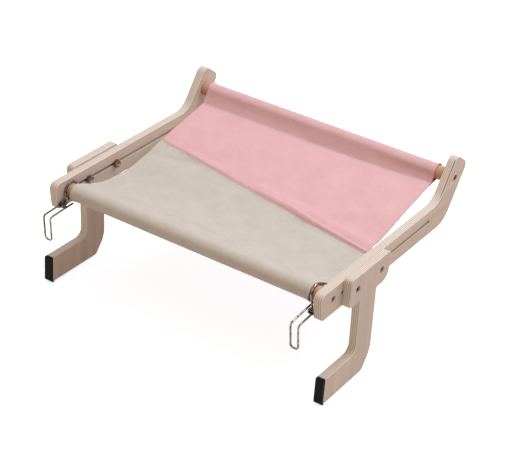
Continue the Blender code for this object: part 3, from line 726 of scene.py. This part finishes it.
@dataclass(frozen=True)
class Lockstitch:
    """A row of lockstitches: short threads that dip into the cloth at both ends."""

    thread: float
    pitch: float = 3.8 * MM
    showing: float = 0.84
    sides: int = 6
    # Rings along a stitch: place along it, then width and lift in radii of the thread.
    rings: tuple[tuple[float, float, float], ...] = (
        (0.0, 0.35, -0.4), (0.18, 1.0, 0.2), (0.5, 1.1, 0.5), (0.82, 1.0, 0.2), (1.0, 0.35, -0.4),
    )

    def mesh(
        self, name: str, surface: Callable[[float, float], Vector],
        start: tuple[float, float], finish: tuple[float, float],
    ) -> bpy.types.Mesh:
        """Sew a straight run on the sling.

        Args:
            name: The mesh's name.
            surface: Gives the cloth's top at a place across and back.
            start: Where the row starts, across and back.
            finish: Where the row ends.

        Returns:
            The row of stitches.
        """
        bm = bmesh.new()
        run = math.dist(start, finish)
        for index in range(int(run / self.pitch)):
            ends = []
            for part in (0.0, self.showing):
                share = (index + part) * self.pitch / run
                ends.append(surface(*(a + (b - a) * share for a, b in zip(start, finish))))
            self._stitch(bm, *ends)
        bmesh.ops.recalc_face_normals(bm, faces=bm.faces)
        return mesh_from(bm, name)

    def _stitch(self, bm: bmesh.types.BMesh, start: Vector, finish: Vector) -> None:
        """Add one stitch.

        Args:
            bm: The working mesh.
            start: Where the thread comes up.
            finish: Where it goes down.
        """
        along = (finish - start).normalized()
        side = along.cross(Vector((0, 0, 1))).normalized()
        up = side.cross(along)
        turns = [math.tau * k / self.sides for k in range(self.sides)]
        loops = []
        for place, width, lift in self.rings:
            middle = start.lerp(finish, place) + up * lift * self.thread
            loops.append([
                bm.verts.new(
                    middle + (side * math.cos(a) + up * math.sin(a)) * self.thread * width
                )
                for a in turns
            ])
        for low, high in zip(loops, loops[1:]):
            for k in range(self.sides):
                after = (k + 1) % self.sides
                bm.faces.new((low[k], low[after], high[after], high[k]))
        bm.faces.new(loops[0][::-1])
        bm.faces.new(loops[-1])


@dataclass
class Sling:
    """The beige and pink canvas that hangs between the dowels, with its sleeves and sewing."""

    drift: float = 2 * MM
    drift_length: float = 80 * MM
    ear: float = 3 * MM
    ear_back: float = 38 * MM
    ear_length: float = 14 * MM
    ear_sharpness: int = 8
    cloth: float = 1.0 * MM
    hem_cloth: float = 1.7 * MM
    hem_width: float = 6 * MM
    layer_gap: float = 0.2 * MM
    sleeve_gap: float = 1.2 * MM
    front_slack: float = 1.0 * MM
    sag: float = 28 * MM
    skew: float = 7 * MM
    settling_rounds: int = 6
    edge_drops: tuple[float, float] = (4 * MM, 5 * MM)
    drop_shares: tuple[float, float] = (0.6, 0.3)
    crease_reach: float = 31.3 * MM
    crease_tightening: float = 8.5 * MM
    crease_tightens_from: float = 36 * MM
    crease_angle: float = math.radians(215.0)
    front_stitch: float = 30 * MM
    lap: float = 9 * MM
    flare: float = 1.2 * MM
    flare_length: float = 4 * MM
    seam_left: float = 0.236
    seam_right: float = 0.157
    seam_tuck: float = 6 * MM
    tuck_shares: tuple[float, ...] = (1.0, 0.66, 0.33)
    seam_depth: float = 2.4 * MM
    seam_gap: float = 0.15 * MM

    # Mesh: its rows and columns, with the hems' columns in mm from each side edge.
    columns: int = 128
    columns_from: float = 13.5 * MM
    hem_columns: tuple[float, ...] = (0.0, 1.2, 2.4, 3.6, 4.6, 5.3, 6.0, 6.7, 7.4, 8.6, 10.5)
    sheet_rows: int = 84
    row_crowding: float = 1.5
    sleeve_rows: int = 40
    band_rows: int = 8

    # Sewing: where the rows of stitches lie from the edges, seam and crease that they hold.
    stitch_inset: float = 2 * MM
    seam_stitch_inset: float = 1.3 * MM
    hem_stitch_gap: float = 4 * MM
    hem_seam_gap: float = 7 * MM
    seam_thread: float = 0.6 * MM
    hem_thread: float = 0.36 * MM

    # Relief of the sewing in mm. Places at the seam are behind it, with the beige side below zero.
    rolled_edge: Welt = Welt(0.8, -1.1, 0.9)
    gutter: Welt = Welt(-2.8, 1.4, 2.2)
    doubled: tuple[float, float, float] = (0.6, -7.0, 0.8)
    ridge_heights: tuple[float, float] = (0.2, 2.6)
    ridge_rises: tuple[float, float] = (0.42, 0.26)
    ridge_nears_from: float = 0.65
    ridge_places: tuple[float, float] = (9.0, 4.5)
    ridge_spreads: tuple[float, float] = (4.2, 3.2)
    sleeve_groove: Welt = Welt(-1.5, 0.0, 3.2)
    sleeve_swell: Welt = Welt(0.8, 8.0, 4.0)
    hem_groove: Welt = Welt(-0.6, 0.0, 1.3)

    # Slack of the rear band in mm: the even part, the uneven part, its waves per metre, a seed.
    band_slack: tuple[float, float, float, float] = (1.1, 0.9, 14.0, 5.7)
    # Each size of crumple: waves per metre across and back, a seed, and a height in mm.
    crumples: tuple[tuple[float, float, float, float], ...] = (
        (16.0, 13.0, 3.1, 1.9), (42.0, 36.0, 8.4, 0.5),
    )
    # Puckers by the left end of the seam, in mm, and their turns in radians per mm.
    pucker_across: Welt = Welt(0.55, 34.0, 34.0)
    pucker_back: Welt = Welt(1.0, -12.0, 13.0)
    pucker_turns: tuple[float, float] = (0.36, 0.20)
    fold_height: float = 4 * MM
    fold_spread: float = 14 * MM
    # Each soft fold: start across and back, end across and back, height, spread. Across is a
    # share of the half width, back a share of the dowels' spacing, and height and spread are
    # shares of the two sizes above.
    folds: tuple[tuple[float, ...], ...] = (
        (-0.75, 0.594, 0.00, 0.544, 0.25, 0.50),
        (0.00, 0.546, 1.00, 0.459, 0.90, 0.85),
        (-0.96, 0.510, -0.62, 0.548, -0.55, 0.70),
        (-0.98, 0.260, -0.50, 0.440, 0.40, 1.00),
        (-0.20, 0.290, 0.08, 0.360, -0.35, 0.80),
        (0.04, 0.160, 0.42, 0.440, -0.45, 0.95),
        (0.24, 0.620, 0.46, 0.830, 0.35, 1.00),
        (0.52, 0.530, 0.86, 0.680, 0.40, 1.00),
    )

    def __post_init__(self) -> None:
        """Take the side edges and the dowels from the frame, and place the sleeves."""
        low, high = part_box("front_sling_panel")
        self.left_edge = plain(low.x)
        self.right_edge = plain(high.x - self.drift)
        self.half_width = (self.right_edge - self.left_edge) / 2
        self.middle = (self.right_edge + self.left_edge) / 2
        low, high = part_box("front_dowel")
        self.front_axis = (low + high) / 2
        self.rear_radius = plain((high.z - low.z) / 2) + self.sleeve_gap
        self.front_radius = self.rear_radius + self.front_slack
        self.front_centre = Vector((0.0, -self.front_slack))
        low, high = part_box("rear_dowel")
        apart = (low + high) / 2 - self.front_axis
        self.spacing = plain(apart.y)
        self.rear = Vector((self.spacing, plain(apart.z)))
        self.known_ends: dict[float, tuple[Vector, Vector, float]] = {}

    def crease_at(self, x: float) -> Vector:
        """Find where the rear sleeve is stitched to the sling, nearer its dowel at the right.

        Args:
            x: Place across the bed.

        Returns:
            The crease, in the side view.
        """
        off = x - self.middle - self.crease_tightens_from
        share = max(0.0, off / (self.half_width - self.crease_tightens_from))
        reach = self.crease_reach - self.crease_tightening * share**2
        return self.rear + reach * Vector((math.cos(self.crease_angle), math.sin(self.crease_angle)))

    def ends_at(self, x: float) -> tuple[Vector, Vector, float]:
        """Work out the open sheet's two ends, once for each place.

        Args:
            x: Place across the bed.

        Returns:
            Where the sheet leaves the front sleeve, where it meets the rear sleeve's stitching,
            and the angle round the front sleeve where it leaves.
        """
        if x not in self.known_ends:
            angle = math.pi / 2
            crease = self.crease_at(x)
            for _ in range(self.settling_rounds):
                start = self.front_centre + self.front_radius * Vector(
                    (math.cos(angle), math.sin(angle))
                )
                run = crease - start
                slope = (run.y - 4 * self.sag - math.tau * self.skew) / run.x
                angle = math.pi / 2 + math.atan(slope)
            self.known_ends[x] = (start, crease, angle)
        return self.known_ends[x]

    def from_edge(self, x: float) -> float:
        """Distance from the nearer side edge."""
        return self.half_width - abs(x - self.middle)

    def from_left(self, x: float) -> float:
        """Share of the width from the left edge."""
        return (x - self.left_edge) / (2 * self.half_width)

    def seam_back(self, x: float) -> float:
        """Where the diagonal seam runs at x."""
        return self.seam_left + (self.seam_right - self.seam_left) * self.from_left(x)

    def fold(self, x: float, back: float) -> float:
        """Add up the soft folds.

        Args:
            x: Place across the bed.
            back: Place behind the front dowel.

        Returns:
            Height of the folds.
        """
        place = Vector((x - self.middle, back))
        height = 0.0
        for start_x, start_back, end_x, end_back, share, spread in self.folds:
            start = Vector((start_x * self.half_width, start_back * self.spacing))
            run = Vector((end_x * self.half_width, end_back * self.spacing)) - start
            along = min(max((place - start).dot(run) / run.length_squared, 0.0), 1.0)
            away = (place - start - run * along).length
            height += share * self.fold_height * math.exp(-((away / (spread * self.fold_spread)) ** 2))
        return height

    def seam_relief(self, x: float, off: float) -> float:
        """Shape the seam: doubled cloth with a rolled beige edge, a gutter and a pink ridge.

        Args:
            x: Place across the bed.
            off: Millimetres behind the seam.

        Returns:
            Height in millimetres.
        """
        if off < 0:
            height, place, slope = self.doubled
            return height / (1 + math.exp(-(off - place) / slope)) + self.rolled_edge.at(off)
        across = self.from_left(x)
        rises_from, rises_over = self.ridge_rises
        rise = min(max((across - rises_from) / rises_over, 0.0), 1.0)
        rise *= rise * (3 - 2 * rise)
        nearing = max(0.0, across - self.ridge_nears_from) / (1 - self.ridge_nears_from)
        crest = self.ridge_places[0] + (self.ridge_places[1] - self.ridge_places[0]) * nearing
        low, added = self.ridge_heights
        spread = self.ridge_spreads[int(off >= crest)]
        return Welt(low + added * rise, crest, spread).at(off) + self.gutter.at(off)

    def sewing(self, x: float, back: float) -> float:
        """Add up the relief of the seam, the front sleeve's stitching and the side hems.

        Args:
            x: Place across the bed.
            back: Place behind the front dowel.

        Returns:
            Height of the relief.
        """
        stitch = (back - self.front_stitch - self.lap / 2) / MM
        hem = (self.from_edge(x) - self.hem_width) / MM
        relief = self.seam_relief(x, (back - self.seam_back(x)) / MM)
        relief += self.sleeve_groove.at(stitch) + self.sleeve_swell.at(stitch)
        return (relief + self.hem_groove.at(hem)) * MM

    def crumple(self, x: float, back: float) -> float:
        """Add up the small uneven waves, and the puckers by the left end of the seam.

        Args:
            x: Place across the bed.
            back: Place behind the front dowel.

        Returns:
            Height of the crumples.
        """
        height = 0.0
        for across_waves, back_waves, seed, size in self.crumples:
            height += noise.noise(Vector((x * across_waves, back * back_waves, seed))) * size
        across = (x - self.left_edge) / MM
        off = (back - self.seam_back(x)) / MM
        turn = across * self.pucker_turns[0] + off * self.pucker_turns[1]
        height += math.sin(turn) * self.pucker_across.at(across) * self.pucker_back.at(off)
        return height * MM

    def edge_drop(self, x: float, share: float) -> float:
        """Work out how far the sling hangs below its even sag, most at each side edge.

        Args:
            x: Place across the bed.
            share: Share of the way from the front sleeve to the crease.

        Returns:
            The drop.
        """
        across = (x - self.middle) / self.half_width
        side = int(across > 0)
        along = min(max(share, 0.0) / self.drop_shares[side], 1.0)
        return self.edge_drops[side] * across**2 * math.sin(math.pi * along) ** 2

    def height(self, x: float, back: float) -> float:
        """Work out the height of the sling's middle surface above the front dowel's axis.

        Args:
            x: Place across the bed.
            back: Place behind the front dowel.

        Returns:
            The height.
        """
        start, crease, _ = self.ends_at(x)
        share = (back - start.x) / (crease.x - start.x)
        chord = start.y + (crease.y - start.y) * share
        hung = chord - 4 * self.sag * share * (1 - share) - self.skew * math.sin(math.tau * share)
        hung -= self.edge_drop(x, share)
        fade = min(1.0, 2 * math.sin(math.pi * min(max(share, 0.0), 1.0)))
        return hung + (self.fold(x, back) + self.crumple(x, back)) * fade + self.sewing(x, back)

    def under(self, x: float, back: float) -> Vector:
        """Find a place of the turned-in canvas, just below the sling.

        Args:
            x: Place across the bed.
            back: Place behind the front dowel.

        Returns:
            The place, in the side view.
        """
        here = Vector((back, self.height(x, back)))
        ahead = Vector((back + MM, self.height(x, back + MM))) - here
        below = Vector((ahead.y, -ahead.x)).normalized()
        return here + below * (self.hem_cloth + self.layer_gap)

    def sleeve_arc(
        self, x: float, centre: Vector, radius: float, first: float, last: float
    ) -> list[Vector]:
        """Go round a sleeve, which flares a little at the sling's side edges.

        Args:
            x: Place across the bed.
            centre: Middle of the sleeve.
            radius: Its radius.
            first: Angle of its first place.
            last: Angle of its last place.

        Returns:
            Evenly spaced places.
        """
        flare = self.flare * math.exp(-((self.from_edge(x) / self.flare_length) ** 2))
        places = []
        for share in np.linspace(0.0, 1.0, self.sleeve_rows + 1):
            angle = first + (last - first) * share
            reach = radius + flare * math.sin(math.pi * share)
            places.append(centre + reach * Vector((math.cos(angle), math.sin(angle))))
        return places

    def front_line(self, x: float) -> list[Vector]:
        """Draw the beige panel: turned-in lap, round the dowel, then back to the seam.

        Args:
            x: Place across the bed.

        Returns:
            Places along the panel, in the side view.
        """
        start, _, leaving = self.ends_at(x)
        lap = [self.under(x, self.front_stitch + self.lap * s) for s in reversed(QUARTERS)]
        away = lap[-1] - self.front_centre
        low = math.atan2(away.y, away.x) - math.acos(self.front_radius / away.length)
        sleeve = self.sleeve_arc(x, self.front_centre, self.front_radius, low, leaving - math.tau)
        bridge = [lap[-1].lerp(sleeve[0], s) for s in THIRDS]
        run = self.seam_back(x) - self.seam_gap - start.x
        sheet = []
        for row in range(1, self.sheet_rows + 1):
            back = start.x + run * (1 - (1 - row / self.sheet_rows) ** self.row_crowding)
            sheet.append(Vector((back, self.height(x, back))))
        return lap + bridge + sleeve + sheet

    def rear_line(self, x: float) -> list[Vector]:
        """Draw the pink panel: from under the seam, round the dowel and back to the lap.

        Args:
            x: Place across the bed.

        Returns:
            Places along the panel, in the side view.
        """
        _, crease, _ = self.ends_at(x)
        seam = self.seam_back(x) + self.seam_gap
        tucked = []
        for share in self.tuck_shares:
            back = seam - self.seam_tuck * share
            tucked.append(Vector((back, self.height(x, back) - self.seam_depth)))
        sheet = []
        for row in range(self.sheet_rows + 1):
            back = seam + (crease.x - seam) * (row / self.sheet_rows) ** self.row_crowding
            sheet.append(Vector((back, self.height(x, back))))
        away = sheet[-1] - self.rear
        high = math.atan2(away.y, away.x) - math.acos(self.rear_radius / away.length)
        lap = [self.under(x, crease.x - self.lap * s) for s in QUARTERS]
        away = lap[0] - self.rear
        low = math.atan2(away.y, away.x) + math.acos(self.rear_radius / away.length)
        sleeve = self.sleeve_arc(x, self.rear, self.rear_radius, high, low - math.tau)
        band = self.rear_band(x, sheet[-1], sleeve[0])
        bridge = [sleeve[-1].lerp(lap[0], s) for s in THIRDS]
        return tucked + sheet + band + sleeve + bridge + lap

    def rear_band(self, x: float, crease: Vector, top: Vector) -> list[Vector]:
        """Draw the slack band between the crease and the top of the rear dowel.

        Args:
            x: Place across the bed.
            crease: Where the band starts, in the side view.
            top: Where it meets the dowel's sleeve.

        Returns:
            Places between the two.
        """
        run = top - crease
        inward = Vector((run.y, -run.x)).normalized()
        even, uneven, waves, seed = self.band_slack
        places = []
        for row in range(1, self.band_rows):
            share = row / self.band_rows
            slack = even + uneven * noise.noise(Vector((x * waves, share, seed)))
            places.append(crease + run * share + inward * math.sin(math.pi * share) * slack * MM)
        return places

    def places_across(self) -> list[float]:
        """List the mesh's columns, which are close together at the hems.

        Returns:
            Places across the bed, from left to right.
        """
        inner = np.linspace(
            self.left_edge + self.columns_from, self.right_edge - self.columns_from,
            self.columns + 1,
        )
        return (
            [self.left_edge + place * MM for place in self.hem_columns]
            + [float(x) for x in inner]
            + [self.right_edge - place * MM for place in reversed(self.hem_columns)]
        )

    def place(self, x: float, side_view: Vector) -> Vector:
        """Put a place of the sling in the scene.

        Behind its front sleeve the cloth drifts a little to the right, and just behind the
        sleeve's stitching its right edge stands out in a small ear.

        Args:
            x: Place across the bed.
            side_view: Place behind and above the front dowel's axis.

        Returns:
            The place in the scene.
        """
        share = min(max(side_view.x / self.drift_length, 0.0), 1.0)
        across = max(0.0, (x - self.middle) / self.half_width)
        off = (side_view.x - self.ear_back) / self.ear_length
        ear = self.ear * across**self.ear_sharpness * math.exp(-(off**2))
        return Vector((
            x + self.drift * share * (2 - share) + ear,
            side_view.x + self.front_axis.y,
            side_view.y + self.front_axis.z,
        ))

    def panel(
        self, name: str, line_at: Callable[[float], list[Vector]]
    ) -> tuple[bpy.types.Mesh, list[int], float, float]:
        """Make one panel as a sheet with its flat coordinates.

        Args:
            name: The mesh's name.
            line_at: Gives the panel's middle line at a place across the bed.

        Returns:
            The mesh, the numbers of its hem's points, its longest flat length and its flat area.
        """
        xs = self.places_across()
        lengths = []
        hem = []
        bm = bmesh.new()
        flat = bm.loops.layers.uv.new("flat")
        grid = []
        for x in xs:
            line = line_at(x)
            steps = [(b - a).length for a, b in zip(line, line[1:])]
            travelled = np.concatenate(([0.0], np.cumsum(steps)))
            lengths.append(float(travelled[-1]))
            if self.from_edge(x) < self.hem_width:
                hem += range(len(bm.verts), len(bm.verts) + len(line))
            grid.append([(bm.verts.new(self.place(x, p)), t) for p, t in zip(line, travelled)])
        for x_low, x_high, left, right in zip(xs, xs[1:], grid, grid[1:]):
            for row in range(len(left) - 1):
                corners = (
                    (left[row], x_low), (left[row + 1], x_low),
                    (right[row + 1], x_high), (right[row], x_high),
                )
                face = bm.faces.new([vert for (vert, _), _ in corners])
                for loop, ((_, along), across) in zip(face.loops, corners):
                    loop[flat].uv = (across, along)
        return mesh_from(bm, name), hem, max(lengths), float(np.trapz(lengths, xs))

    def hang(
        self, name: str, node: str, finish: CottonCanvas, slot: str,
        line_at: Callable[[float], list[Vector]], dowel: str, threads: list[bpy.types.Object],
    ) -> None:
        """Args:
            name: The piece's name.
            node: The CAD node that it stands for.
            finish: Its canvas.
            slot: The record's material slot. It is not used.
            line_at: Gives the panel's middle line at a place across the bed.
            dowel: The CAD node that it hangs on. It is not used.
            threads: Its rows of stitches.
        """
        mesh, hem_points, length, area = self.panel(name, line_at)
        piece = add_piece(name, mesh, finish.material(), "frame")
        piece.vertex_groups.new(name="hem").add(hem_points, 1.0, "REPLACE")
        solid = piece.modifiers.new("cloth_thickness", "SOLIDIFY")
        solid.thickness = self.hem_cloth
        solid.offset = 0.0
        solid.vertex_group = "hem"
        solid.thickness_vertex_group = self.cloth / self.hem_cloth
        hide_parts(node)
        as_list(threads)
        width = 2 * self.half_width
        log.info("%s: flat %.0f x %.0f mm, %.4f m2", name, width / MM, length / MM, area)

    def surface(self, x: float, back: float) -> Vector:
        """A place on top of the sling."""
        return self.place(x, Vector((back, self.height(x, back) + self.cloth / 2)))

    def stitch_rows(self) -> dict[str, tuple[tuple[float, float], tuple[float, float]]]:
        """Lay out the rows of stitches.

        Returns:
            Each row's start and end by its name, both across and back.
        """
        left, right = self.left_edge + self.stitch_inset, self.right_edge - self.stitch_inset
        stitch = self.front_stitch + self.lap / 2
        gap = self.hem_stitch_gap
        rows = {
            "front_sleeve_stitches": ((left, stitch), (right, stitch)),
            "seam_stitches": tuple(
                (x, self.seam_back(x) - self.seam_stitch_inset) for x in (left, right)
            ),
            "rear_sleeve_stitches": tuple(
                (x, self.crease_at(x).x - gap) for x in (left, self.middle)
            ),
        }
        hems = {"left": self.left_edge + self.hem_width, "right": self.right_edge - self.hem_width}
        for side, hem in hems.items():
            seam = self.seam_back(hem)
            rows[f"{side}_hem_front_stitches"] = (
                (hem, self.ends_at(hem)[0].x), (hem, seam - self.hem_seam_gap)
            )
            rows[f"{side}_hem_rear_stitches"] = (
                (hem, seam + gap), (hem, self.crease_at(hem).x - gap)
            )
        return rows

    def build(self) -> None:
        """Sew and hang both panels."""
        threads = {
            "canvas_beige": SewingThread("spun_thread_beige", "#F1ECE3", "#DDD5C8").material(),
            "canvas_pink": SewingThread("spun_thread_pink", "#F5D3D5", "#E6B8BB").material(),
        }
        sewn: dict[str, list[bpy.types.Object]] = {slot: [] for slot in threads}
        for name, (start, finish) in self.stitch_rows().items():
            slot = "canvas_pink" if "rear" in name else "canvas_beige"
            thread = self.seam_thread if name.startswith("seam") else self.hem_thread
            mesh = Lockstitch(thread).mesh(name, self.surface, start, finish)
            sewn[slot].append(add_piece(name, mesh, threads[slot], "frame"))
        beige = CottonCanvas("woven_cotton_canvas_beige", "#D8D5CD", "#B7B0A3", "#C8A77F")
        self.hang(
            "front_canvas", "front_sling_panel", beige, "canvas_beige",
            self.front_line, "front_dowel", sewn["canvas_beige"],
        )
        pink = CottonCanvas("woven_cotton_canvas_pink", "#EDCFD3", "#D7A9AF", "#F58790", 0.22)
        self.hang(
            "rear_canvas", "rear_sling_panel", pink, "canvas_pink",
            self.rear_line, "rear_dowel", sewn["canvas_pink"],
        )


# Wooden frame, metal and rubber


@dataclass
class WoodenFrame:
    """Arms, legs and dowels, which keep their CAD solids."""

    # Each kind of board: its grain and how scorched it is.
    boards: tuple[tuple[str, Grain, float], ...] = (
        ("arm", Grain.OUT_FROM_WALL, 0.9),
        ("leg", Grain.UPRIGHT, 0.0),
    )

    def dress(self) -> None:
        """Give the boards their plywood and the dowels their beech."""
        for kind, grain, scorching in self.boards:
            low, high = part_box(f"right_{kind}")
            plywood = BirchPlywood(
                f"birch_plywood_{kind}", grain, low.x, high.x - low.x, scorching
            ).material()
            for side in SIDES:
                wear(f"{side}_{kind}", plywood)
        beech = OiledBeech("oiled_beech_dowel").material()
        for end in ("front", "rear"):
            wear(f"{end}_dowel", beech)


@dataclass
class Metalwork:
    """Hooks, clamps, bolts, washers, nuts and inserts, which keep their CAD solids."""

    # Bolts and screws: close to a mirror, with grey clouds painted in as reflections.
    bright: SmallMetal = SmallMetal("bright_plated_steel", "#BDB7B0", "#46413C", 0.06, 0.16)
    # Bent wire: a warm mirror with dark streaks painted in as reflections.
    wire: SmallMetal = SmallMetal("nickel_plated_wire", "#9C9188", "#4A3F37", 0.08, 0.20)
    # Clamps: a matt grey, with soft highlights and painted dark reflections.
    zinc: SmallMetal = SmallMetal("zinc_plated_steel", "#7A736C", "#4B443E", 0.28, 0.42)
    # Washers: nearly black, as painted shade, so that a recess reads as dark round its bolt.
    black: SmallMetal = SmallMetal("washer_painted_recess_shade", "#3B3632", "#1F1C1A", 0.30, 0.45)
    # Leg nuts: brownish and half matt, with painted dark reflections.
    tinted: SmallMetal = SmallMetal("passivated_steel_nut", "#9A8272", "#5C4A41", 0.22, 0.36)
    # Inserts: yellow, with a turned gloss.
    brass: SmallMetal = SmallMetal("turned_brass", "#C9A15A", "#A98243", 0.25, 0.4)

    def dress(self) -> None:
        """Choose a finish for each small piece by the end of its name."""
        endings = {
            self.bright: ("_bolt", "_screw"), self.wire: ("_hook",), self.brass: ("_insert",),
            self.black: ("_washer",), self.tinted: ("_leg_nut",), self.zinc: ("_hook_nut", "_plate"),
        }
        for finish, ends in endings.items():
            material = finish.material()
            for name in sorted(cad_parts):
                if name.endswith(ends):
                    wear(name, material)


@dataclass
class FootPads:
    """Rubber pads on the feet, which keep their CAD solids."""

    rubber: MouldedRubber = MouldedRubber("moulded_black_rubber")

    def dress(self) -> None:
        """Give both pads their rubber."""
        material = self.rubber.material()
        for side in SIDES:
            wear(f"{side}_foot_pad", material)


# Studio


@dataclass(frozen=True)
class AreaLamp:
    """A square area lamp, with its power in watts."""

    name: str
    place: tuple[float, float, float]
    size: float
    power: float
    colour: str = "#ECF5FF"

    def hang(self, aim: Vector) -> None:
        """Hang the lamp.

        Args:
            aim: Where it points.
        """
        data = bpy.data.lights.new(self.name, "AREA")
        data.shape = "SQUARE"
        data.size = self.size
        data.energy = self.power
        data.color = linear(self.colour)[:3]
        lamp = bpy.data.objects.new(self.name, data)
        bpy.context.scene.collection.objects.link(lamp)
        lamp.location = self.place
        lamp.rotation_mode = "QUATERNION"
        lamp.rotation_quaternion = (aim - Vector(self.place)).to_track_quat("-Z", "Y")


@dataclass
class Studio:
    """Pale floor, soft light and the photograph's viewing angle."""

    azimuth: float = math.radians(32.06)
    elevation: float = math.radians(30.86)
    roll: float = math.radians(4.29)
    aim_across: float = -99.5 * MM
    aim_up: float = -14.9 * MM
    distance: float = 2.495
    # Lens and sensor are in millimetres, as a camera's data has them.
    lens: float = 109.49
    sensor: float = 36.0
    sight: float = 100.0
    floor_size: float = 12.0
    floor_gap: float = 0.5 * MM
    floor_colour: str = "#DDD8D0"
    floor_glow: str = "#EEF7FF"
    floor_glow_strength: float = 0.82
    soft_colour: str = "#FFE0C8"
    soft_strength: float = 0.54
    lamps_aim: tuple[float, float, float] = (0.0, 0.25, 0.0)
    lamps: tuple[AreaLamp, ...] = (
        AreaLamp("key", (0.75, 0.9, 2.3), 1.6, 40.0),
        AreaLamp("top", (-0.5, 0.7, 2.4), 1.6, 15.0),
    )

    def camera(self, aim: Vector) -> None:
        """Place the camera, which looks at a place beside the front dowel's middle.

        Args:
            aim: Middle of the front dowel.
        """
        back = Vector((
            math.sin(self.azimuth) * math.cos(self.elevation),
            -math.cos(self.azimuth) * math.cos(self.elevation),
            math.sin(self.elevation),
        ))
        level = Vector((math.cos(self.azimuth), math.sin(self.azimuth), 0.0))
        right = Matrix.Rotation(self.roll, 3, back) @ level
        up = back.cross(right)
        data = bpy.data.cameras.new("camera")
        data.lens = self.lens
        data.sensor_width = self.sensor
        data.clip_end = self.sight
        cam = bpy.data.objects.new("camera", data)
        bpy.context.scene.collection.objects.link(cam)
        place = aim - right * self.aim_across - up * self.aim_up + back * self.distance
        turn = Matrix((right, up, back)).transposed().to_4x4()
        cam.matrix_world = Matrix.Translation(place) @ turn
        bpy.context.scene.camera = cam

    def seen(self, tree: Tree) -> Socket:
        """Tell where the camera, a mirror or glass looks at a surface.

        Args:
            tree: The node tree to add to.

        Returns:
            Socket of one where it is seen, and zero elsewhere.
        """
        path = add_node(tree, "LightPath")
        share = path.outputs["Is Camera Ray"]
        for name in ("Is Glossy Ray", "Is Transmission Ray"):
            share = add_node(
                tree, "Math", {"operation": "MAXIMUM"}, {0: share, 1: path.outputs[name]}
            ).outputs[0]
        return share

    def floor(self, level: float) -> None:
        """Lay the floor, pale enough to pass into the white behind it.

        Args:
            level: Height of the floor.
        """
        material, tree, shader = new_surface(
            "pale_floor", {"Base Color": linear(self.floor_colour), "Roughness": 0.9}
        )
        glow = add_node(
            tree, "Emission",
            links={"Color": linear(self.floor_glow), "Strength": self.floor_glow_strength},
        )
        none = add_node(tree, "Emission", links={"Color": BLACK, "Strength": 0.0})
        extra = add_node(
            tree, "MixShader", links={0: self.seen(tree), 1: none.outputs[0], 2: glow.outputs[0]}
        )
        both = add_node(
            tree, "AddShader", links={0: shader.outputs["BSDF"], 1: extra.outputs[0]}
        )
        show(tree, both.outputs[0])
        mesh = bpy.data.meshes.new("floor")
        half = self.floor_size / 2
        mesh.from_pydata(
            [(x, y, level) for x, y in ((-half, -half), (half, -half), (half, half), (-half, half))],
            [], [(0, 1, 2, 3)],
        )
        mesh.materials.append(material)
        floor = bpy.data.objects.new("floor", mesh)
        bpy.context.scene.collection.objects.link(floor)
        floor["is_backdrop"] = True

    def world(self) -> None:
        """Surround the scene with soft light, seen as white."""
        world = bpy.data.worlds.new("studio")
        bpy.context.scene.world = world
        world.use_nodes = True
        tree = world.node_tree
        tree.nodes.clear()
        soft = add_node(
            tree, "Background",
            links={"Color": linear(self.soft_colour), "Strength": self.soft_strength},
        )
        white = add_node(tree, "Background", links={"Color": WHITE, "Strength": 1.0})
        seen = add_node(
            tree, "MixShader", links={0: self.seen(tree), 1: soft.outputs[0], 2: white.outputs[0]}
        )
        add_node(tree, "OutputWorld", links={"Surface": seen.outputs[0]})

    def build(self, aim: Vector, lowest: float) -> None:
        """Set up the whole studio.

        Args:
            aim: Middle of the front dowel.
            lowest: Height of the object's lowest point.
        """
        bpy.context.scene.view_settings.view_transform = "Standard"
        self.camera(aim)
        self.floor(lowest - self.floor_gap)
        self.world()
        for lamp in self.lamps:
            lamp.hang(Vector(self.lamps_aim))
        log.info("studio: floor at %.4f m", lowest - self.floor_gap)


def main() -> None:
    """Dress the frame, hang the sling and set up the studio."""
    logging.basicConfig(level=logging.INFO, format="%(message)s")
    cad_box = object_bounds()
    WoodenFrame().dress()
    Metalwork().dress()
    FootPads().dress()
    sling = Sling()
    sling.build()
    Studio().build(sling.front_axis, cad_box[0].z)


if __name__ == "__main__":
    main()
